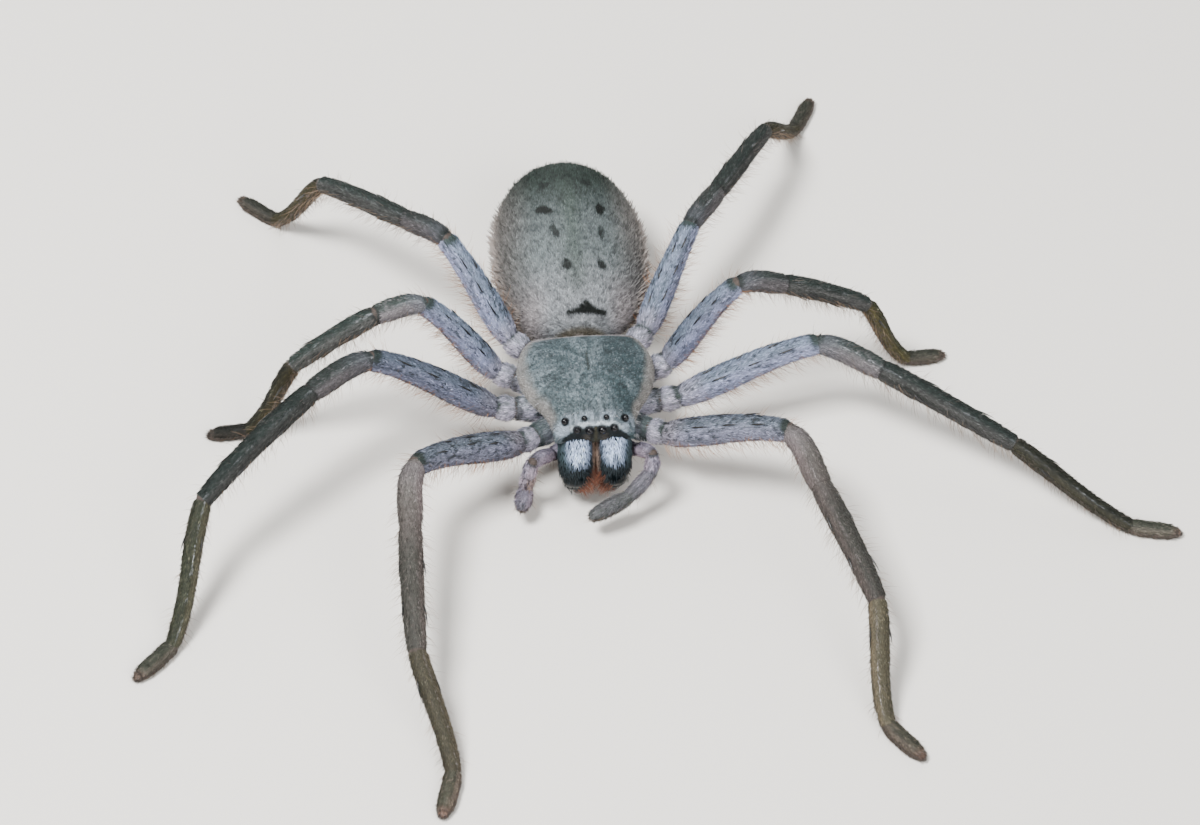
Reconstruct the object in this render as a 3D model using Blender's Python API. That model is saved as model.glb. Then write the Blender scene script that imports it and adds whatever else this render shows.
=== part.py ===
# A huntsman spider, life size, standing with its legs spread on level ground.
#
# Lengths are in millimetres until a mesh is made, and angles are in degrees.
# The head looks along -Y, +X is the spider's left, and the ground is z = 0.
# Joint places are measured from a point on the ground below the carapace.

import bpy
import bmesh
import math
import random
from mathutils import Matrix, Vector
from mathutils.bvhtree import BVHTree

MM = 0.001
GAP = 0.3
NAME = "huntsman_spider"
SIDES = {"left": 1.0, "right": -1.0}
SHARP_ANGLE = 40.0

# Body
CARAPACE_UNDERSIDE = 6.7
CARAPACE_RIM = 7.05
CARAPACE_DOME = 2.3
CARAPACE_POINTS = 22
# y, half width, height of the midline
CARAPACE_STATIONS = (
    (5.5, 3.6, 7.25),
    (5.35, 4.55, 7.65),
    (4.7, 5.3, 8.4),
    (3.7, 5.85, 9.0),
    (2.4, 6.25, 9.45),
    (0.8, 6.3, 9.6),
    (-0.8, 5.95, 9.6),
    (-2.2, 5.25, 9.6),
    (-3.5, 4.4, 9.6),
    (-4.6, 3.95, 9.45),
    (-5.5, 3.75, 9.1),
    (-6.2, 3.65, 8.6),
    (-6.55, 3.55, 8.0),
    (-6.7, 3.3, 7.4),
)

# Height, and share of the outline, of each level from below
STERNUM_LEVELS = ((3.2, 0.55), (3.35, 0.82), (3.7, 1.0), (6.4, 1.0))
# Corner points of the left half, front to rear; a coxa faces each long edge
STERNUM_OUTLINE = (
    (1.0, -3.7),
    (2.35, -3.6),
    (3.2, -2.1),
    (3.5, 0.3),
    (3.2, 2.5),
    (1.9, 4.4),
    (0.8, 4.8),
)

PEDICEL_FRONT_HEIGHT = 5.2
PEDICEL_REAR_HEIGHT = 5.4
# Stations of a lofted piece: place along it, half width, half height
PEDICEL_STATIONS = ((0.0, 1.15, 1.0), (0.3, 0.9, 0.85), (0.7, 0.85, 0.85), (1.0, 1.1, 1.0))

ABDOMEN_FRONT = 6.35
ABDOMEN_REAR = 27.7
ABDOMEN_WIDEST = 17.2
ABDOMEN_HALF_WIDTH = 7.2
ABDOMEN_ABOVE = 5.0
ABDOMEN_BELOW = 4.7
ABDOMEN_HEIGHT = 5.8
ABDOMEN_LIFT = 0.4
ABDOMEN_TURN = 1.5
ABDOMEN_BLUNT_FRONT = 2.4
ABDOMEN_BLUNT_REAR = 2.1
ABDOMEN_SEGMENTS = 28
ABDOMEN_BANDS = 18

SPINNERET_FACING = Vector((0.02, 0.97, -0.24)).normalized()
# Distance out from the base, half width, half height
SPINNERET_BASE = ((0.0, 1.15, 0.95), (0.35, 1.1, 0.9), (0.6, 0.9, 0.75))
SPINNERET_STATIONS = ((0.0, 0.38, 0.38), (0.6, 0.34, 0.34), (0.9, 0.26, 0.26), (1.0, 0.15, 0.15))
SPINNERET_ACROSS = 0.45
SPINNERET_UPWARD = 0.35
SPINNERET_LOWER_LENGTH = 1.3
SPINNERET_UPPER_LENGTH = 1.0
SPINNERET_SPLAY = 0.38
SPINNERET_SUNK = 0.2

# Head: side offset, y, radius and facing (sideways, up) of each left eye
EYES = {
    "anterior_median": (0.6, -6.55, 0.38, 8, 25),
    "anterior_lateral": (1.7, -6.4, 0.33, 35, 25),
    "posterior_median": (0.9, -5.3, 0.26, 20, 65),
    "posterior_lateral": (2.58, -5.35, 0.33, 50, 50),
}
EYE_SUNK = 0.3
EYE_GAP = 0.15
EYE_LEVEL = 8.35
FAR_AWAY = 30.0

CHELICERA_TOP = Vector((1.7, -5.45, 6.4))
CHELICERA_END = Vector((1.72, -7.95, 2.3))
CHELICERA_BOW = Vector((0.0, -0.35, 0.1))
# Place along the length, half width, half depth
CHELICERA_STATIONS = (
    (0.0, 1.45, 1.3),
    (0.15, 1.54, 1.48),
    (0.35, 1.56, 1.55),
    (0.6, 1.52, 1.5),
    (0.8, 1.42, 1.38),
    (0.93, 1.22, 1.18),
    (1.0, 0.95, 0.9),
)
CHELICERA_POINTS = 16
FANG_HALF_WIDTHS = (0.45, 0.42, 0.34, 0.24, 0.1)
FANG_DROP = 0.85
FANG_TIP_X = 0.28
FANG_TIP_BACK = 0.95
FANG_TIP_RISE = 0.25
FANG_POINTS = 8

# Lip and the maxilla on each side of it: start, reach to the end, stations
LABIUM_START = Vector((0.0, 0.0, 3.6))
LABIUM_REACH = Vector((0.0, -1.5, -0.65))
LABIUM_STATIONS = ((0.0, 0.95, 0.5), (0.6, 0.9, 0.45), (1.0, 0.6, 0.3))
MAXILLA_START = Vector((1.75, 0.0, 3.55))
MAXILLA_REACH = Vector((-0.4, -1.8, -0.95))
MAXILLA_STATIONS = ((0.0, 1.0, 0.5), (0.35, 1.0, 0.5), (0.75, 0.85, 0.42), (1.0, 0.55, 0.28))

# Palp joints, hip to tip, on each side, with x measured outwards
PALP_JOINTS = {
    "left": ((3.45, -5.5, 4.1), (5.1, -7.9, 6.1), (4.95, -8.8, 4.7), (2.8, -10.45, 3.3), (-0.6, -11.85, 2.5)),
    "right": ((3.45, -5.5, 4.1), (5.83, -8.1, 6.2), (6.2, -8.2, 4.6), (6.4, -8.0, 2.3), (6.95, -10.15, 2.2)),
}
PALP_STATIONS = {
    "femur": ((0.0, 0.5), (0.3, 0.6), (0.75, 0.68), (1.0, 0.6)),
    "patella": ((0.0, 0.6), (0.5, 0.7), (1.0, 0.62)),
    "tibia": ((0.0, 0.62), (0.55, 0.7), (1.0, 0.6)),
    "tarsus": ((0.0, 0.6), (0.35, 0.75), (0.75, 0.68), (0.93, 0.45), (1.0, 0.2)),
}

# Legs
LEG_SEGMENTS = ("femur", "patella", "tibia", "metatarsus", "tarsus")
LEG_LENGTHS = {
    1: (12.3, 6.2, 12.0, 11.2, 4.2),
    2: (13.8, 6.4, 14.0, 13.2, 4.4),
    3: (11.2, 4.8, 9.4, 9.4, 3.5),
    4: (11.6, 5.2, 11.0, 10.8, 4.3),
}
LEG_HIPS = {
    1: (6.65, -4.95, 5.3),
    2: (8.5, -0.65, 5.2),
    3: (7.95, 3.6, 5.2),
    4: (6.35, 7.25, 5.4),
}
LEG_THICKNESS = {1: 1.0, 2: 0.96, 3: 0.9, 4: 0.9}
# Heading of each segment, from straight out to the spider's side, turned to the front
LEG_HEADINGS = {
    (1, "left"): (22, 69, 72, 90, 54),
    (2, "left"): (-10, 26, 31, 36, 12),
    (3, "left"): (-10, -11, -5, 1, -5),
    (4, "left"): (-61, -53, -56, -56, -61),
    (1, "right"): (28, 80, 88, 104, 73),
    (2, "right"): (-2, 28, 41, 70, 44),
    (3, "right"): (-11, 19, 4, 8, 3),
    (4, "right"): (-44, -48, -47, -43, -44),
}
# Rise of the femur, patella and tibia; the last two segments reach down to the ground
LEG_RISES = {
    (1, "left"): (22, -8, -13),
    (2, "left"): (16, -8, -14),
    (3, "left"): (56, -15, -28),
    (4, "left"): (20, 0, -8),
    (1, "right"): (21, -10, -13),
    (2, "right"): (33, -4, -14),
    (3, "right"): (51, 9, -37),
    (4, "right"): (47, -12, -16),
}
COXA_HEIGHT = 4.9
ANKLE_HEIGHT = 0.76
TOE_HEIGHT = 0.48
# Stations for the first leg
COXA_STATIONS = (
    (0.0, 1.0, 1.1),
    (0.12, 1.1, 1.18),
    (0.38, 1.2, 1.22),
    (0.55, 1.15, 1.18),
    (0.64, 1.0, 1.05),
    (0.72, 1.1, 1.12),
    (0.88, 1.2, 1.2),
    (1.0, 1.05, 1.05),
)
LEG_STATIONS = {
    "femur": (
        (0.0, 1.05, 1.05),
        (0.07, 1.28, 1.25),
        (0.3, 1.45, 1.4),
        (0.6, 1.32, 1.3),
        (0.88, 1.14, 1.12),
        (1.0, 1.02, 1.02),
    ),
    "patella": (
        (0.0, 1.02, 1.02),
        (0.3, 1.14, 1.12),
        (0.8, 1.14, 1.12),
        (1.0, 1.05, 1.05),
    ),
    "tibia": (
        (0.0, 1.05, 1.05),
        (0.15, 1.12, 1.1),
        (0.55, 1.06, 1.04),
        (0.9, 0.96, 0.94),
        (1.0, 0.88, 0.88),
    ),
    "metatarsus": (
        (0.0, 0.86, 0.86),
        (0.12, 0.9, 0.88),
        (0.6, 0.84, 0.82),
        (0.88, 0.78, 0.76),
        (1.0, 0.72, 0.72),
    ),
    "tarsus": (
        (0.0, 0.72, 0.72),
        (0.3, 0.8, 0.78),
        (0.65, 0.8, 0.76),
        (0.88, 0.68, 0.66),
        (1.0, 0.36, 0.36),
    ),
}
LEG_RING_POINTS = 12
PALP_RING_POINTS = 10

# Spines: place along the segment and angle round it, from the front edge over the top
SPINE_ROWS = {
    "femur": ((62, (0.28, 0.52, 0.76)), (112, (0.22, 0.46, 0.68))),
    "tibia": ((15, (0.28, 0.66)), (165, (0.28, 0.66)), (240, (0.2, 0.58)), (300, (0.2, 0.58))),
    "metatarsus": ((20, (0.25,)), (160, (0.25,)), (240, (0.16, 0.5)), (300, (0.16, 0.5))),
}
SPINE_LENGTHS = {"femur": 1.7, "tibia": 2.0, "metatarsus": 1.8}
SPINE_SHIFT = 0.02
SPINE_TURN = 8.0
SPINE_LENGTH_RANGE = (0.85, 1.15)
SPINE_RADIUS = 0.25
SPINE_TIP_RADIUS = 0.06
SPINE_SIDES = 4
SPINE_LEAN = 15.0
SPINE_SUNK = 0.45
SPINE_ROOT_DEPTH = 0.15
SPINE_CLEARANCE = 0.35
SPINE_SEED = 11

COLOURS = {
    "carapace": (0.16, 0.19, 0.18),
    "sternum": (0.13, 0.1, 0.08),
    "coxa": (0.3, 0.28, 0.29),
    "femur": (0.25, 0.26, 0.29),
    "shin": (0.1, 0.105, 0.1),
    "foot": (0.08, 0.08, 0.075),
    "abdomen": (0.2, 0.19, 0.16),
    "chelicera": (0.015, 0.015, 0.017),
    "fang": (0.03, 0.008, 0.005),
    "eye": (0.005, 0.005, 0.006),
    "palp": (0.25, 0.23, 0.24),
    "pedicel": (0.2, 0.16, 0.14),
}
GLOSSY = ("chelicera", "fang", "eye")
GLOSSY_ROUGHNESS = 0.15
VELVET_ROUGHNESS = 0.75


def clear_scene():
    for obj in list(bpy.data.objects):
        bpy.data.objects.remove(obj, do_unlink=True)


def make_collection(name):
    collection = bpy.data.collections.new(name)
    bpy.context.scene.collection.children.link(collection)
    return collection


def make_material(name):
    material = bpy.data.materials.new(name)
    material.use_nodes = True
    shader = material.node_tree.nodes["Principled BSDF"]
    colour = COLOURS[name]
    shader.inputs["Base Color"].default_value = (*colour, 1.0)
    shader.inputs["Roughness"].default_value = GLOSSY_ROUGHNESS if name in GLOSSY else VELVET_ROUGHNESS
    shader.inputs["Metallic"].default_value = 0.0
    material.diffuse_color = (*colour, 1.0)
    return material


def direction_of(heading, rise):
    """Unit vector with a heading in the ground plane and a rise above it."""
    heading = math.radians(heading)
    rise = math.radians(rise)
    flat = math.cos(rise)
    return Vector((math.cos(heading) * flat, math.sin(heading) * flat, math.sin(rise)))


def side_and_up(direction):
    """Level and upward unit vectors at right angles to a direction."""
    side = direction.cross(Vector((0.0, 0.0, 1.0))).normalized()
    return side, side.cross(direction).normalized()


def ring(centre, side, up, half_width, half_height, count):
    points = []
    for index in range(count):
        angle = 2.0 * math.pi * index / count
        points.append(centre + side * half_width * math.cos(angle) + up * half_height * math.sin(angle))
    return points


def slide_to_plane(points, direction, plane):
    """Move points along a direction until they lie on a plane."""
    origin, normal = plane
    along = direction.dot(normal)
    return [point + direction * ((origin - point).dot(normal) / along) for point in points]


def joint_plane(joint, before, after, offset):
    """Plane that halves the bend at a joint, moved along its own normal."""
    normal = (before + after).normalized()
    return joint + normal * offset, normal


def segment_rings(start, end, stations, count, first_plane=None, last_plane=None):
    """Rings along one segment; its end rings may be cut by planes."""
    direction = (end - start).normalized()
    side, up = side_and_up(direction)
    rings = []
    for place, half_width, half_height in stations:
        rings.append(ring(start.lerp(end, place), side, up, half_width, half_height, count))
    if first_plane:
        rings[0] = slide_to_plane(rings[0], direction, first_plane)
    if last_plane:
        rings[-1] = slide_to_plane(rings[-1], direction, last_plane)
    return rings


def loft(rings):
    """Closed mesh through rings that have the same number of points."""
    mesh = bmesh.new()
    rows = [[mesh.verts.new(point) for point in points] for points in rings]
    count = len(rows[0])
    for first, second in zip(rows, rows[1:]):
        for index in range(count):
            following = (index + 1) % count
            mesh.faces.new((first[index], first[following], second[following], second[index]))
    mesh.faces.new(rows[0])
    mesh.faces.new(rows[-1])
    bmesh.ops.triangulate(mesh, faces=mesh.faces)
    bmesh.ops.recalc_face_normals(mesh, faces=mesh.faces)
    return mesh


def add_object(name, shape, material, collection, origin=None):
    """Object in metres from a shape in millimetres, with its own origin."""
    origin = Vector(origin) if origin else Vector((0.0, 0.0, 0.0))
    for vertex in shape.verts:
        vertex.co = (vertex.co - origin) * MM
    mesh = bpy.data.meshes.new(name)
    shape.to_mesh(mesh)
    shape.free()
    obj = bpy.data.objects.new(name, mesh)
    obj.location = origin * MM
    collection.objects.link(obj)
    if material:
        mesh.materials.append(material)
    mesh.shade_smooth()
    mesh.set_sharp_from_angle(angle=math.radians(SHARP_ANGLE))
    return obj


def keep_largest_surface(mesh):
    """Remove every connected piece of a mesh but the one with most faces."""
    shape = bmesh.new()
    shape.from_mesh(mesh)
    unseen = set(shape.verts)
    pieces = []
    while unseen:
        seed = unseen.pop()
        piece = {seed}
        waiting = [seed]
        while waiting:
            for edge in waiting.pop().link_edges:
                for vertex in edge.verts:
                    if vertex in unseen:
                        unseen.discard(vertex)
                        piece.add(vertex)
                        waiting.append(vertex)
        pieces.append(piece)
    pieces.sort(key=len, reverse=True)
    for piece in pieces[1:]:
        bmesh.ops.delete(shape, geom=list(piece), context="VERTS")
    bmesh.ops.triangulate(shape, faces=shape.faces)
    shape.to_mesh(mesh)
    shape.free()


def join_collection(obj, collection, operation, solver="EXACT"):
    """Apply one Boolean of a collection's objects, then remove those objects."""
    modifier = obj.modifiers.new("join", "BOOLEAN")
    modifier.operation = operation
    modifier.operand_type = "COLLECTION"
    modifier.collection = collection
    modifier.solver = solver
    bpy.context.view_layer.update()
    evaluated = obj.evaluated_get(bpy.context.evaluated_depsgraph_get())
    mesh = bpy.data.meshes.new_from_object(evaluated)
    obj.modifiers.remove(modifier)
    obj.data = mesh
    keep_largest_surface(mesh)
    mesh.shade_smooth()
    mesh.set_sharp_from_angle(angle=math.radians(SHARP_ANGLE))
    for piece in list(collection.objects):
        bpy.data.objects.remove(piece, do_unlink=True)


def carapace_ring(y, half_width, top):
    """Section of the carapace: flat below, a low rim, and a dome."""
    points = []
    dome_points = CARAPACE_POINTS - 2
    power = 2.0 / CARAPACE_DOME
    for index in range(dome_points):
        angle = math.pi * index / (dome_points - 1)
        across = math.cos(angle)
        x = half_width * math.copysign(abs(across) ** power, across)
        z = CARAPACE_RIM + (top - CARAPACE_RIM) * math.sin(angle) ** power
        points.append(Vector((x, y, z)))
    points.append(Vector((-half_width, y, CARAPACE_UNDERSIDE)))
    points.append(Vector((half_width, y, CARAPACE_UNDERSIDE)))
    return points


def eye_centre(surface, side, y, sideways, up, radius):
    """Centre of an eye that is sunk in the surface where its line of sight leaves it."""
    facing = direction_of(-90.0 + sideways * math.copysign(1.0, side), up)
    start = Vector((side, y, EYE_LEVEL))
    hit, _, _, _ = surface.ray_cast(start + facing * FAR_AWAY, -facing)
    return hit + facing * radius * (1.0 - 2.0 * EYE_SUNK), facing


def build_carapace_and_eyes(parts, cutters, materials):
    carapace_shape = loft([carapace_ring(*station) for station in CARAPACE_STATIONS])
    surface = BVHTree.FromBMesh(carapace_shape)
    carapace = add_object("carapace", carapace_shape, materials["carapace"], parts, (0, 0, CARAPACE_UNDERSIDE))
    for eye, (offset, y, radius, sideways, up) in EYES.items():
        for side, sign in SIDES.items():
            centre, facing = eye_centre(surface, offset * sign, y, sideways, up, radius)
            socket = bmesh.new()
            bmesh.ops.create_icosphere(socket, subdivisions=2, radius=radius + EYE_GAP)
            bmesh.ops.translate(socket, verts=socket.verts, vec=centre)
            cutter = add_object("socket_" + eye + "_" + side, socket, None, cutters, centre)
            cutter.hide_render = True
            cutter.display_type = "WIRE"
            ball = bmesh.new()
            bmesh.ops.create_icosphere(ball, subdivisions=2, radius=radius)
            bmesh.ops.translate(ball, verts=ball.verts, vec=centre)
            add_object("eye_" + eye + "_" + side, ball, materials["eye"], parts, centre)
    join_collection(carapace, cutters, "DIFFERENCE")


def sternum_outline():
    left = [Vector((x, y, 0.0)) for x, y in STERNUM_OUTLINE]
    right = [Vector((-x, y, 0.0)) for x, y in reversed(STERNUM_OUTLINE)]
    return left + right


def build_sternum(parts, materials):
    outline = sternum_outline()
    centre = sum(outline, Vector()) / len(outline)
    rings = []
    for height, scale in STERNUM_LEVELS:
        rings.append([centre.lerp(point, scale) + Vector((0.0, 0.0, height)) for point in outline])
    add_object("sternum", loft(rings), materials["sternum"], parts, (0, 0, STERNUM_LEVELS[0][0]))


def sternum_facet(leg, sign):
    """Middle and outward normal of the sternum's edge that a coxa faces."""
    front = Vector((*STERNUM_OUTLINE[leg], 0.0))
    rear = Vector((*STERNUM_OUTLINE[leg + 1], 0.0))
    along = (rear - front).normalized()
    normal = Vector((along.y, -along.x, 0.0))
    middle = (front + rear) / 2.0
    return Vector((middle.x * sign, middle.y, 0.0)), Vector((normal.x * sign, normal.y, 0.0))


def build_pedicel(parts, materials):
    front = Vector((0.0, STERNUM_OUTLINE[-1][1] + GAP, PEDICEL_FRONT_HEIGHT))
    rear = Vector((0.0, ABDOMEN_FRONT - GAP, PEDICEL_REAR_HEIGHT))
    backward = Vector((0.0, 1.0, 0.0))
    rings = segment_rings(front, rear, PEDICEL_STATIONS, LEG_RING_POINTS,
                          first_plane=(front, backward), last_plane=(rear, backward))
    add_object("pedicel", loft(rings), materials["pedicel"], parts, front)


def abdomen_point(unit):
    """Place on the abdomen for a point on a unit ball whose poles lie along Z."""
    along = unit.z
    length = ABDOMEN_REAR - ABDOMEN_WIDEST if along > 0 else ABDOMEN_WIDEST - ABDOMEN_FRONT
    blunt = ABDOMEN_BLUNT_REAR if along > 0 else ABDOMEN_BLUNT_FRONT
    girth = max(0.0, 1.0 - abs(along) ** blunt) ** (1.0 / blunt)
    round_ball = math.hypot(unit.x, unit.y)
    across = unit.x / round_ball if round_ball > 1e-6 else 0.0
    upward = unit.y / round_ball if round_ball > 1e-6 else 0.0
    half_height = ABDOMEN_ABOVE if upward > 0 else ABDOMEN_BELOW
    y = ABDOMEN_WIDEST + along * length
    x = across * ABDOMEN_HALF_WIDTH * girth
    z = ABDOMEN_HEIGHT + ABDOMEN_LIFT * along + upward * half_height * girth
    turn = math.radians(ABDOMEN_TURN)
    behind = y - ABDOMEN_FRONT
    return Vector((x * math.cos(turn) + behind * math.sin(turn), y - x * math.sin(turn), z))


def build_abdomen(parts, materials):
    shape = bmesh.new()
    bmesh.ops.create_uvsphere(shape, u_segments=ABDOMEN_SEGMENTS, v_segments=ABDOMEN_BANDS, radius=1.0)
    for vertex in shape.verts:
        vertex.co = abdomen_point(vertex.co)
    bmesh.ops.triangulate(shape, faces=shape.faces)
    bmesh.ops.recalc_face_normals(shape, faces=shape.faces)
    surface = BVHTree.FromBMesh(shape)
    add_object("abdomen", shape, materials["abdomen"], parts, (0, ABDOMEN_FRONT, ABDOMEN_HEIGHT))
    return surface


def build_spinnerets(parts, scraps, materials, abdomen_surface):
    """Two pairs of short cones on a low base that fits the rear end of the abdomen."""
    middle = abdomen_point(Vector((0.0, 0.0, 0.0)))
    hit, normal, _, _ = abdomen_surface.ray_cast(middle + SPINNERET_FACING * FAR_AWAY, -SPINNERET_FACING)
    side, up = side_and_up(normal)
    base = hit + normal * GAP
    rings = [ring(base + normal * out, side, up, width, height, LEG_RING_POINTS)
             for out, width, height in SPINNERET_BASE]
    for point in rings[0]:
        _, outward, _, distance = abdomen_surface.find_nearest(point)
        point -= outward * (distance - GAP)
    body = add_object("spinnerets", loft(rings), materials["abdomen"], parts, base)
    for across in (-SPINNERET_ACROSS, SPINNERET_ACROSS):
        for upward, length in ((-SPINNERET_UPWARD, SPINNERET_LOWER_LENGTH),
                               (SPINNERET_UPWARD, SPINNERET_UPPER_LENGTH)):
            offset = side * across + up * upward
            root = base + normal * SPINNERET_SUNK + offset
            tip = root + (normal + offset * SPINNERET_SPLAY).normalized() * (length + SPINNERET_SUNK)
            cone = loft(segment_rings(root, tip, SPINNERET_STATIONS, FANG_POINTS))
            add_object("spinneret", cone, None, scraps, root)
    join_collection(body, scraps, "UNION")


def chelicera_point(place, sign):
    point = CHELICERA_TOP.lerp(CHELICERA_END, place) + CHELICERA_BOW * (4.0 * place * (1.0 - place))
    return Vector((point.x * sign, point.y, point.z))


def build_chelicera(side, sign, parts, materials):
    top = chelicera_point(0.0, sign)
    end = chelicera_point(1.0, sign)
    direction = (end - top).normalized()
    across = Vector((1.0, 0.0, 0.0))
    forward = across.cross(direction).normalized()
    rings = []
    for place, half_width, half_depth in CHELICERA_STATIONS:
        centre = chelicera_point(place, sign)
        rings.append(ring(centre, across, forward, half_width, half_depth, CHELICERA_POINTS))
    rings[0] = slide_to_plane(rings[0], direction, (top, Vector((0.0, 0.0, 1.0))))
    add_object("chelicera_" + side, loft(rings), materials["chelicera"], parts, top)
    build_fang(side, sign, end, direction, parts, materials)


def build_fang(side, sign, end, direction, parts, materials):
    """Fang folded inwards below the end of its chelicera."""
    root = end + direction * GAP
    elbow = root + direction * FANG_DROP
    tip = Vector((FANG_TIP_X * sign, root.y + FANG_TIP_BACK, elbow.z + FANG_TIP_RISE))
    count = len(FANG_HALF_WIDTHS)
    rings = []
    for index, half_width in enumerate(FANG_HALF_WIDTHS):
        place = index / (count - 1)
        centre = root.lerp(elbow, place).lerp(elbow.lerp(tip, place), place)
        heading = (elbow - root).lerp(tip - elbow, place).normalized()
        across = heading.cross(Vector((0.0, 1.0, 0.0))).normalized()
        rings.append(ring(centre, across, across.cross(heading), half_width, half_width, FANG_POINTS))
    add_object("fang_" + side, loft(rings), materials["fang"], parts, root)


def build_mouthparts(parts, scraps, materials):
    """Labium with a maxilla on each side, under the chelicerae."""
    root = Vector((0.0, STERNUM_OUTLINE[0][1] - GAP, 0.0))
    cut = (root, Vector((0.0, -1.0, 0.0)))
    start = root + LABIUM_START
    labium = segment_rings(start, start + LABIUM_REACH, LABIUM_STATIONS, PALP_RING_POINTS, first_plane=cut)
    body = add_object("mouthparts", loft(labium), materials["sternum"], parts, start)
    for sign in SIDES.values():
        mirror = Matrix.Diagonal((sign, 1.0, 1.0))
        start = root + mirror @ MAXILLA_START
        end = start + mirror @ MAXILLA_REACH
        maxilla = segment_rings(start, end, MAXILLA_STATIONS, PALP_RING_POINTS, first_plane=cut)
        add_object("maxilla", loft(maxilla), None, scraps)
    join_collection(body, scraps, "UNION")


def build_palp(side, sign, parts, materials):
    joints = [Vector((x * sign, y, z)) for x, y, z in PALP_JOINTS[side]]
    names = tuple(PALP_STATIONS)
    ways = [(after - before).normalized() for before, after in zip(joints, joints[1:])]
    stations = {name: [(place, half, half) for place, half in PALP_STATIONS[name]] for name in names}
    knee = joint_plane(joints[1], ways[0], ways[1], -GAP / 2.0)
    femur = segment_rings(joints[0], joints[1], stations["femur"], PALP_RING_POINTS, last_plane=knee)
    add_object("palp_" + side + "_femur", loft(femur), materials["palp"], parts, joints[0])
    shin = bent_rings(joints[1:4], (stations["patella"], stations["tibia"]), PALP_RING_POINTS)
    shin[0] = slide_to_plane(shin[0], ways[1], joint_plane(joints[1], ways[0], ways[1], GAP / 2.0))
    shin[-1] = slide_to_plane(shin[-1], ways[2], joint_plane(joints[3], ways[2], ways[3], -GAP / 2.0))
    add_object("palp_" + side + "_patella_tibia", loft(shin), materials["palp"], parts, joints[1])
    wrist = joint_plane(joints[3], ways[2], ways[3], GAP / 2.0)
    tarsus = segment_rings(joints[3], joints[4], stations["tarsus"], PALP_RING_POINTS, first_plane=wrist)
    add_object("palp_" + side + "_tarsus", loft(tarsus), materials["palp"], parts, joints[3])


def bent_rings(joints, stations, count):
    """Rings along two segments that share one ring in the plane of their bend."""
    start, bend, end = joints
    before = (bend - start).normalized()
    after = (end - bend).normalized()
    plane = joint_plane(bend, before, after, 0.0)
    first = segment_rings(start, bend, stations[0], count, last_plane=plane)
    second = segment_rings(bend, end, stations[1], count)
    return first + second[1:]


def leg_joints(leg, side):
    """Joint centres of a leg from the hip to the toe."""
    sign = SIDES[side]
    x, y, z = LEG_HIPS[leg]
    joints = [Vector((x * sign, y, z))]
    rises = LEG_RISES[(leg, side)]
    for index, length in enumerate(LEG_LENGTHS[leg]):
        heading = -LEG_HEADINGS[(leg, side)][index]
        if index < len(rises):
            rise = rises[index]
        else:
            height = ANKLE_HEIGHT if index == len(rises) else TOE_HEIGHT
            drop = height * LEG_THICKNESS[leg] - joints[-1].z
            rise = math.degrees(math.asin(drop / length))
        way = direction_of(heading, rise)
        way.x *= sign
        joints.append(joints[-1] + way * length)
    return joints


def leg_stations(name, leg):
    scale = LEG_THICKNESS[leg]
    return [(place, width * scale, height * scale) for place, width, height in LEG_STATIONS[name]]


def stations_at(stations, place):
    """Half width and half height at a place between two stations."""
    for (start, width_a, height_a), (end, width_b, height_b) in zip(stations, stations[1:]):
        if place <= end:
            blend = (place - start) / (end - start)
            return width_a + (width_b - width_a) * blend, height_a + (height_b - height_a) * blend
    return stations[-1][1:]


def add_spines(segment, start, end, stations, sign, scraps, draw):
    """Tapered cones that lie close to a leg segment and point to its far end."""
    direction = (end - start).normalized()
    side, up = side_and_up(direction)
    front = side * sign
    lean = math.radians(SPINE_LEAN)
    for angle, places in SPINE_ROWS[segment]:
        for place in places:
            spot = place + draw.uniform(-SPINE_SHIFT, SPINE_SHIFT)
            turn = math.radians(angle + draw.uniform(-SPINE_TURN, SPINE_TURN))
            length = SPINE_LENGTHS[segment] * draw.uniform(*SPINE_LENGTH_RANGE)
            half_width, half_height = stations_at(stations, spot)
            outward = front * math.cos(turn) + up * math.sin(turn)
            across = front * math.cos(turn) * half_width + up * math.sin(turn) * half_height
            surface = start.lerp(end, spot) + across
            way = direction * math.cos(lean) + outward * math.sin(lean)
            root = surface - way * SPINE_SUNK - outward * SPINE_ROOT_DEPTH
            tip = surface + way * length
            if tip.z < SPINE_CLEARANCE:
                continue
            cone = bmesh.new()
            bmesh.ops.create_cone(
                cone, cap_ends=True, segments=SPINE_SIDES, radius1=SPINE_RADIUS,
                radius2=SPINE_TIP_RADIUS, depth=(tip - root).length)
            aim = (tip - root).to_track_quat("Z", "Y")
            for vertex in cone.verts:
                vertex.co = aim @ vertex.co + (root + tip) / 2.0
            add_object("spine", cone, None, scraps, root)


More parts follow.
